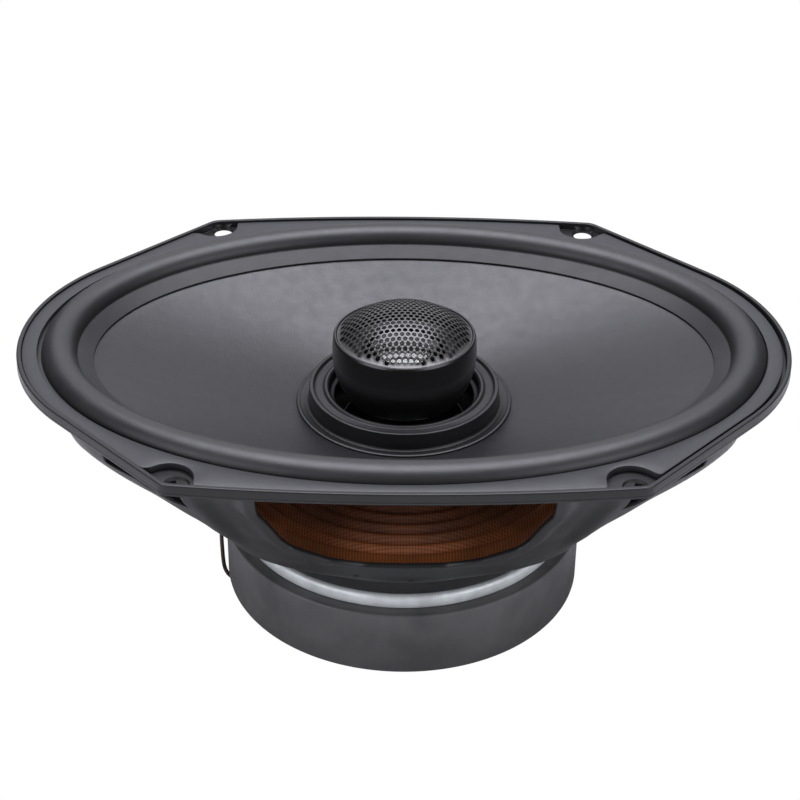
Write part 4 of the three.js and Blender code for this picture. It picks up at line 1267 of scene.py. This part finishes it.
def white_to_camera(tree, shader, white, output):
    """The camera sees plain white, and the object is lit by the given shader."""
    seen = tree.nodes.new("ShaderNodeLightPath")
    either = tree.nodes.new("ShaderNodeMixShader")
    tree.links.new(seen.outputs["Is Camera Ray"], either.inputs["Fac"])
    tree.links.new(shader.outputs[0], either.inputs[1])
    tree.links.new(white.outputs[0], either.inputs[2])
    tree.links.new(either.outputs[0], tree.nodes[output].inputs["Surface"])


floor_mesh = bpy.data.meshes.new("floor")
reach = 3.0
corners = [(-reach, -reach, 0), (reach, -reach, 0), (reach, reach, 0), (-reach, reach, 0)]
floor_mesh.from_pydata(corners, [], [(0, 1, 2, 3)])
floor = add("floor", floor_mesh)
paper = bpy.data.materials.new("floor_paper")
paper.use_nodes = True
plain = paper.node_tree.nodes["Principled BSDF"]
put(plain, Base_Color=(0.7, 0.7, 0.7, 1), Roughness=0.9)
bright = paper.node_tree.nodes.new("ShaderNodeEmission")
put(bright, Color=(1, 1, 1, 1), Strength=1.0)
white_to_camera(paper.node_tree, plain, bright, "Material Output")
floor_mesh.materials.append(paper)

world = bpy.data.worlds.new("studio")
bpy.context.scene.world = world
world.use_nodes = True
back = world.node_tree.nodes["Background"]
white = world.node_tree.nodes.new("ShaderNodeBackground")
for shader, strength in ((back, 0.04), (white, 1.0)):
    put(shader, Color=(1, 1, 1, 1), Strength=strength)
white_to_camera(world.node_tree, back, white, "World Output")


def soft_light(name, azimuth, elevation, width, height, radiance):
    """A large soft panel on a sphere round the object. Azimuth 0 is behind it, +90 on its right."""
    a, e = math.radians(azimuth), math.radians(elevation)
    middle, distance = Vector((0, 0, 0.07)), 1.6
    way = Vector((math.sin(a) * math.cos(e), math.cos(a) * math.cos(e), math.sin(e)))
    data = bpy.data.lights.new(name, "AREA")
    data.shape = "RECTANGLE"
    data.size, data.size_y = width, height
    data.energy = radiance * math.pi * width * height
    data.color = (0.965, 0.97, 1.06)
    obj = add(name, data)
    obj.location = middle + distance * way
    obj.rotation_euler = (-way).to_track_quat("-Z", "Y").to_euler()
    obj.visible_camera = False


soft_light("overhead", 0, 84, 1.6, 0.5, 10.5)
soft_light("over_back", 0, 66, 1.6, 0.5, 8.5)
soft_light("behind", 0, 24, 1.6, 1.0, 1.15)
soft_light("left", -130, 25, 1.0, 0.8, 4.0)
soft_light("right", 130, 25, 1.0, 0.8, 4.0)

azimuth, elevation, roll = math.radians(-0.699), math.radians(29.673), math.radians(0.708)
backward = Vector((
    math.sin(azimuth) * math.cos(elevation),
    -math.cos(azimuth) * math.cos(elevation),
    math.sin(elevation),
))
right = Vector((math.cos(azimuth), math.sin(azimuth), 0))
over = backward.cross(right)
camera_x = math.cos(roll) * right + math.sin(roll) * over
camera_y = math.cos(roll) * over - math.sin(roll) * right
data = bpy.data.cameras.new("camera")
data.lens = 79.06
data.sensor_width = 36
data.shift_x = -0.0054
data.shift_y = -0.0792
camera = add("camera", data)
target, distance = Vector((-0.00011, -0.00002, 0.090)), 0.53744
turned_to = Matrix((camera_x, camera_y, backward)).transposed().to_4x4()
camera.matrix_world = Matrix.Translation(target + backward * distance) @ turned_to
bpy.context.scene.camera = camera
bpy.context.scene.view_settings.view_transform = "Standard"
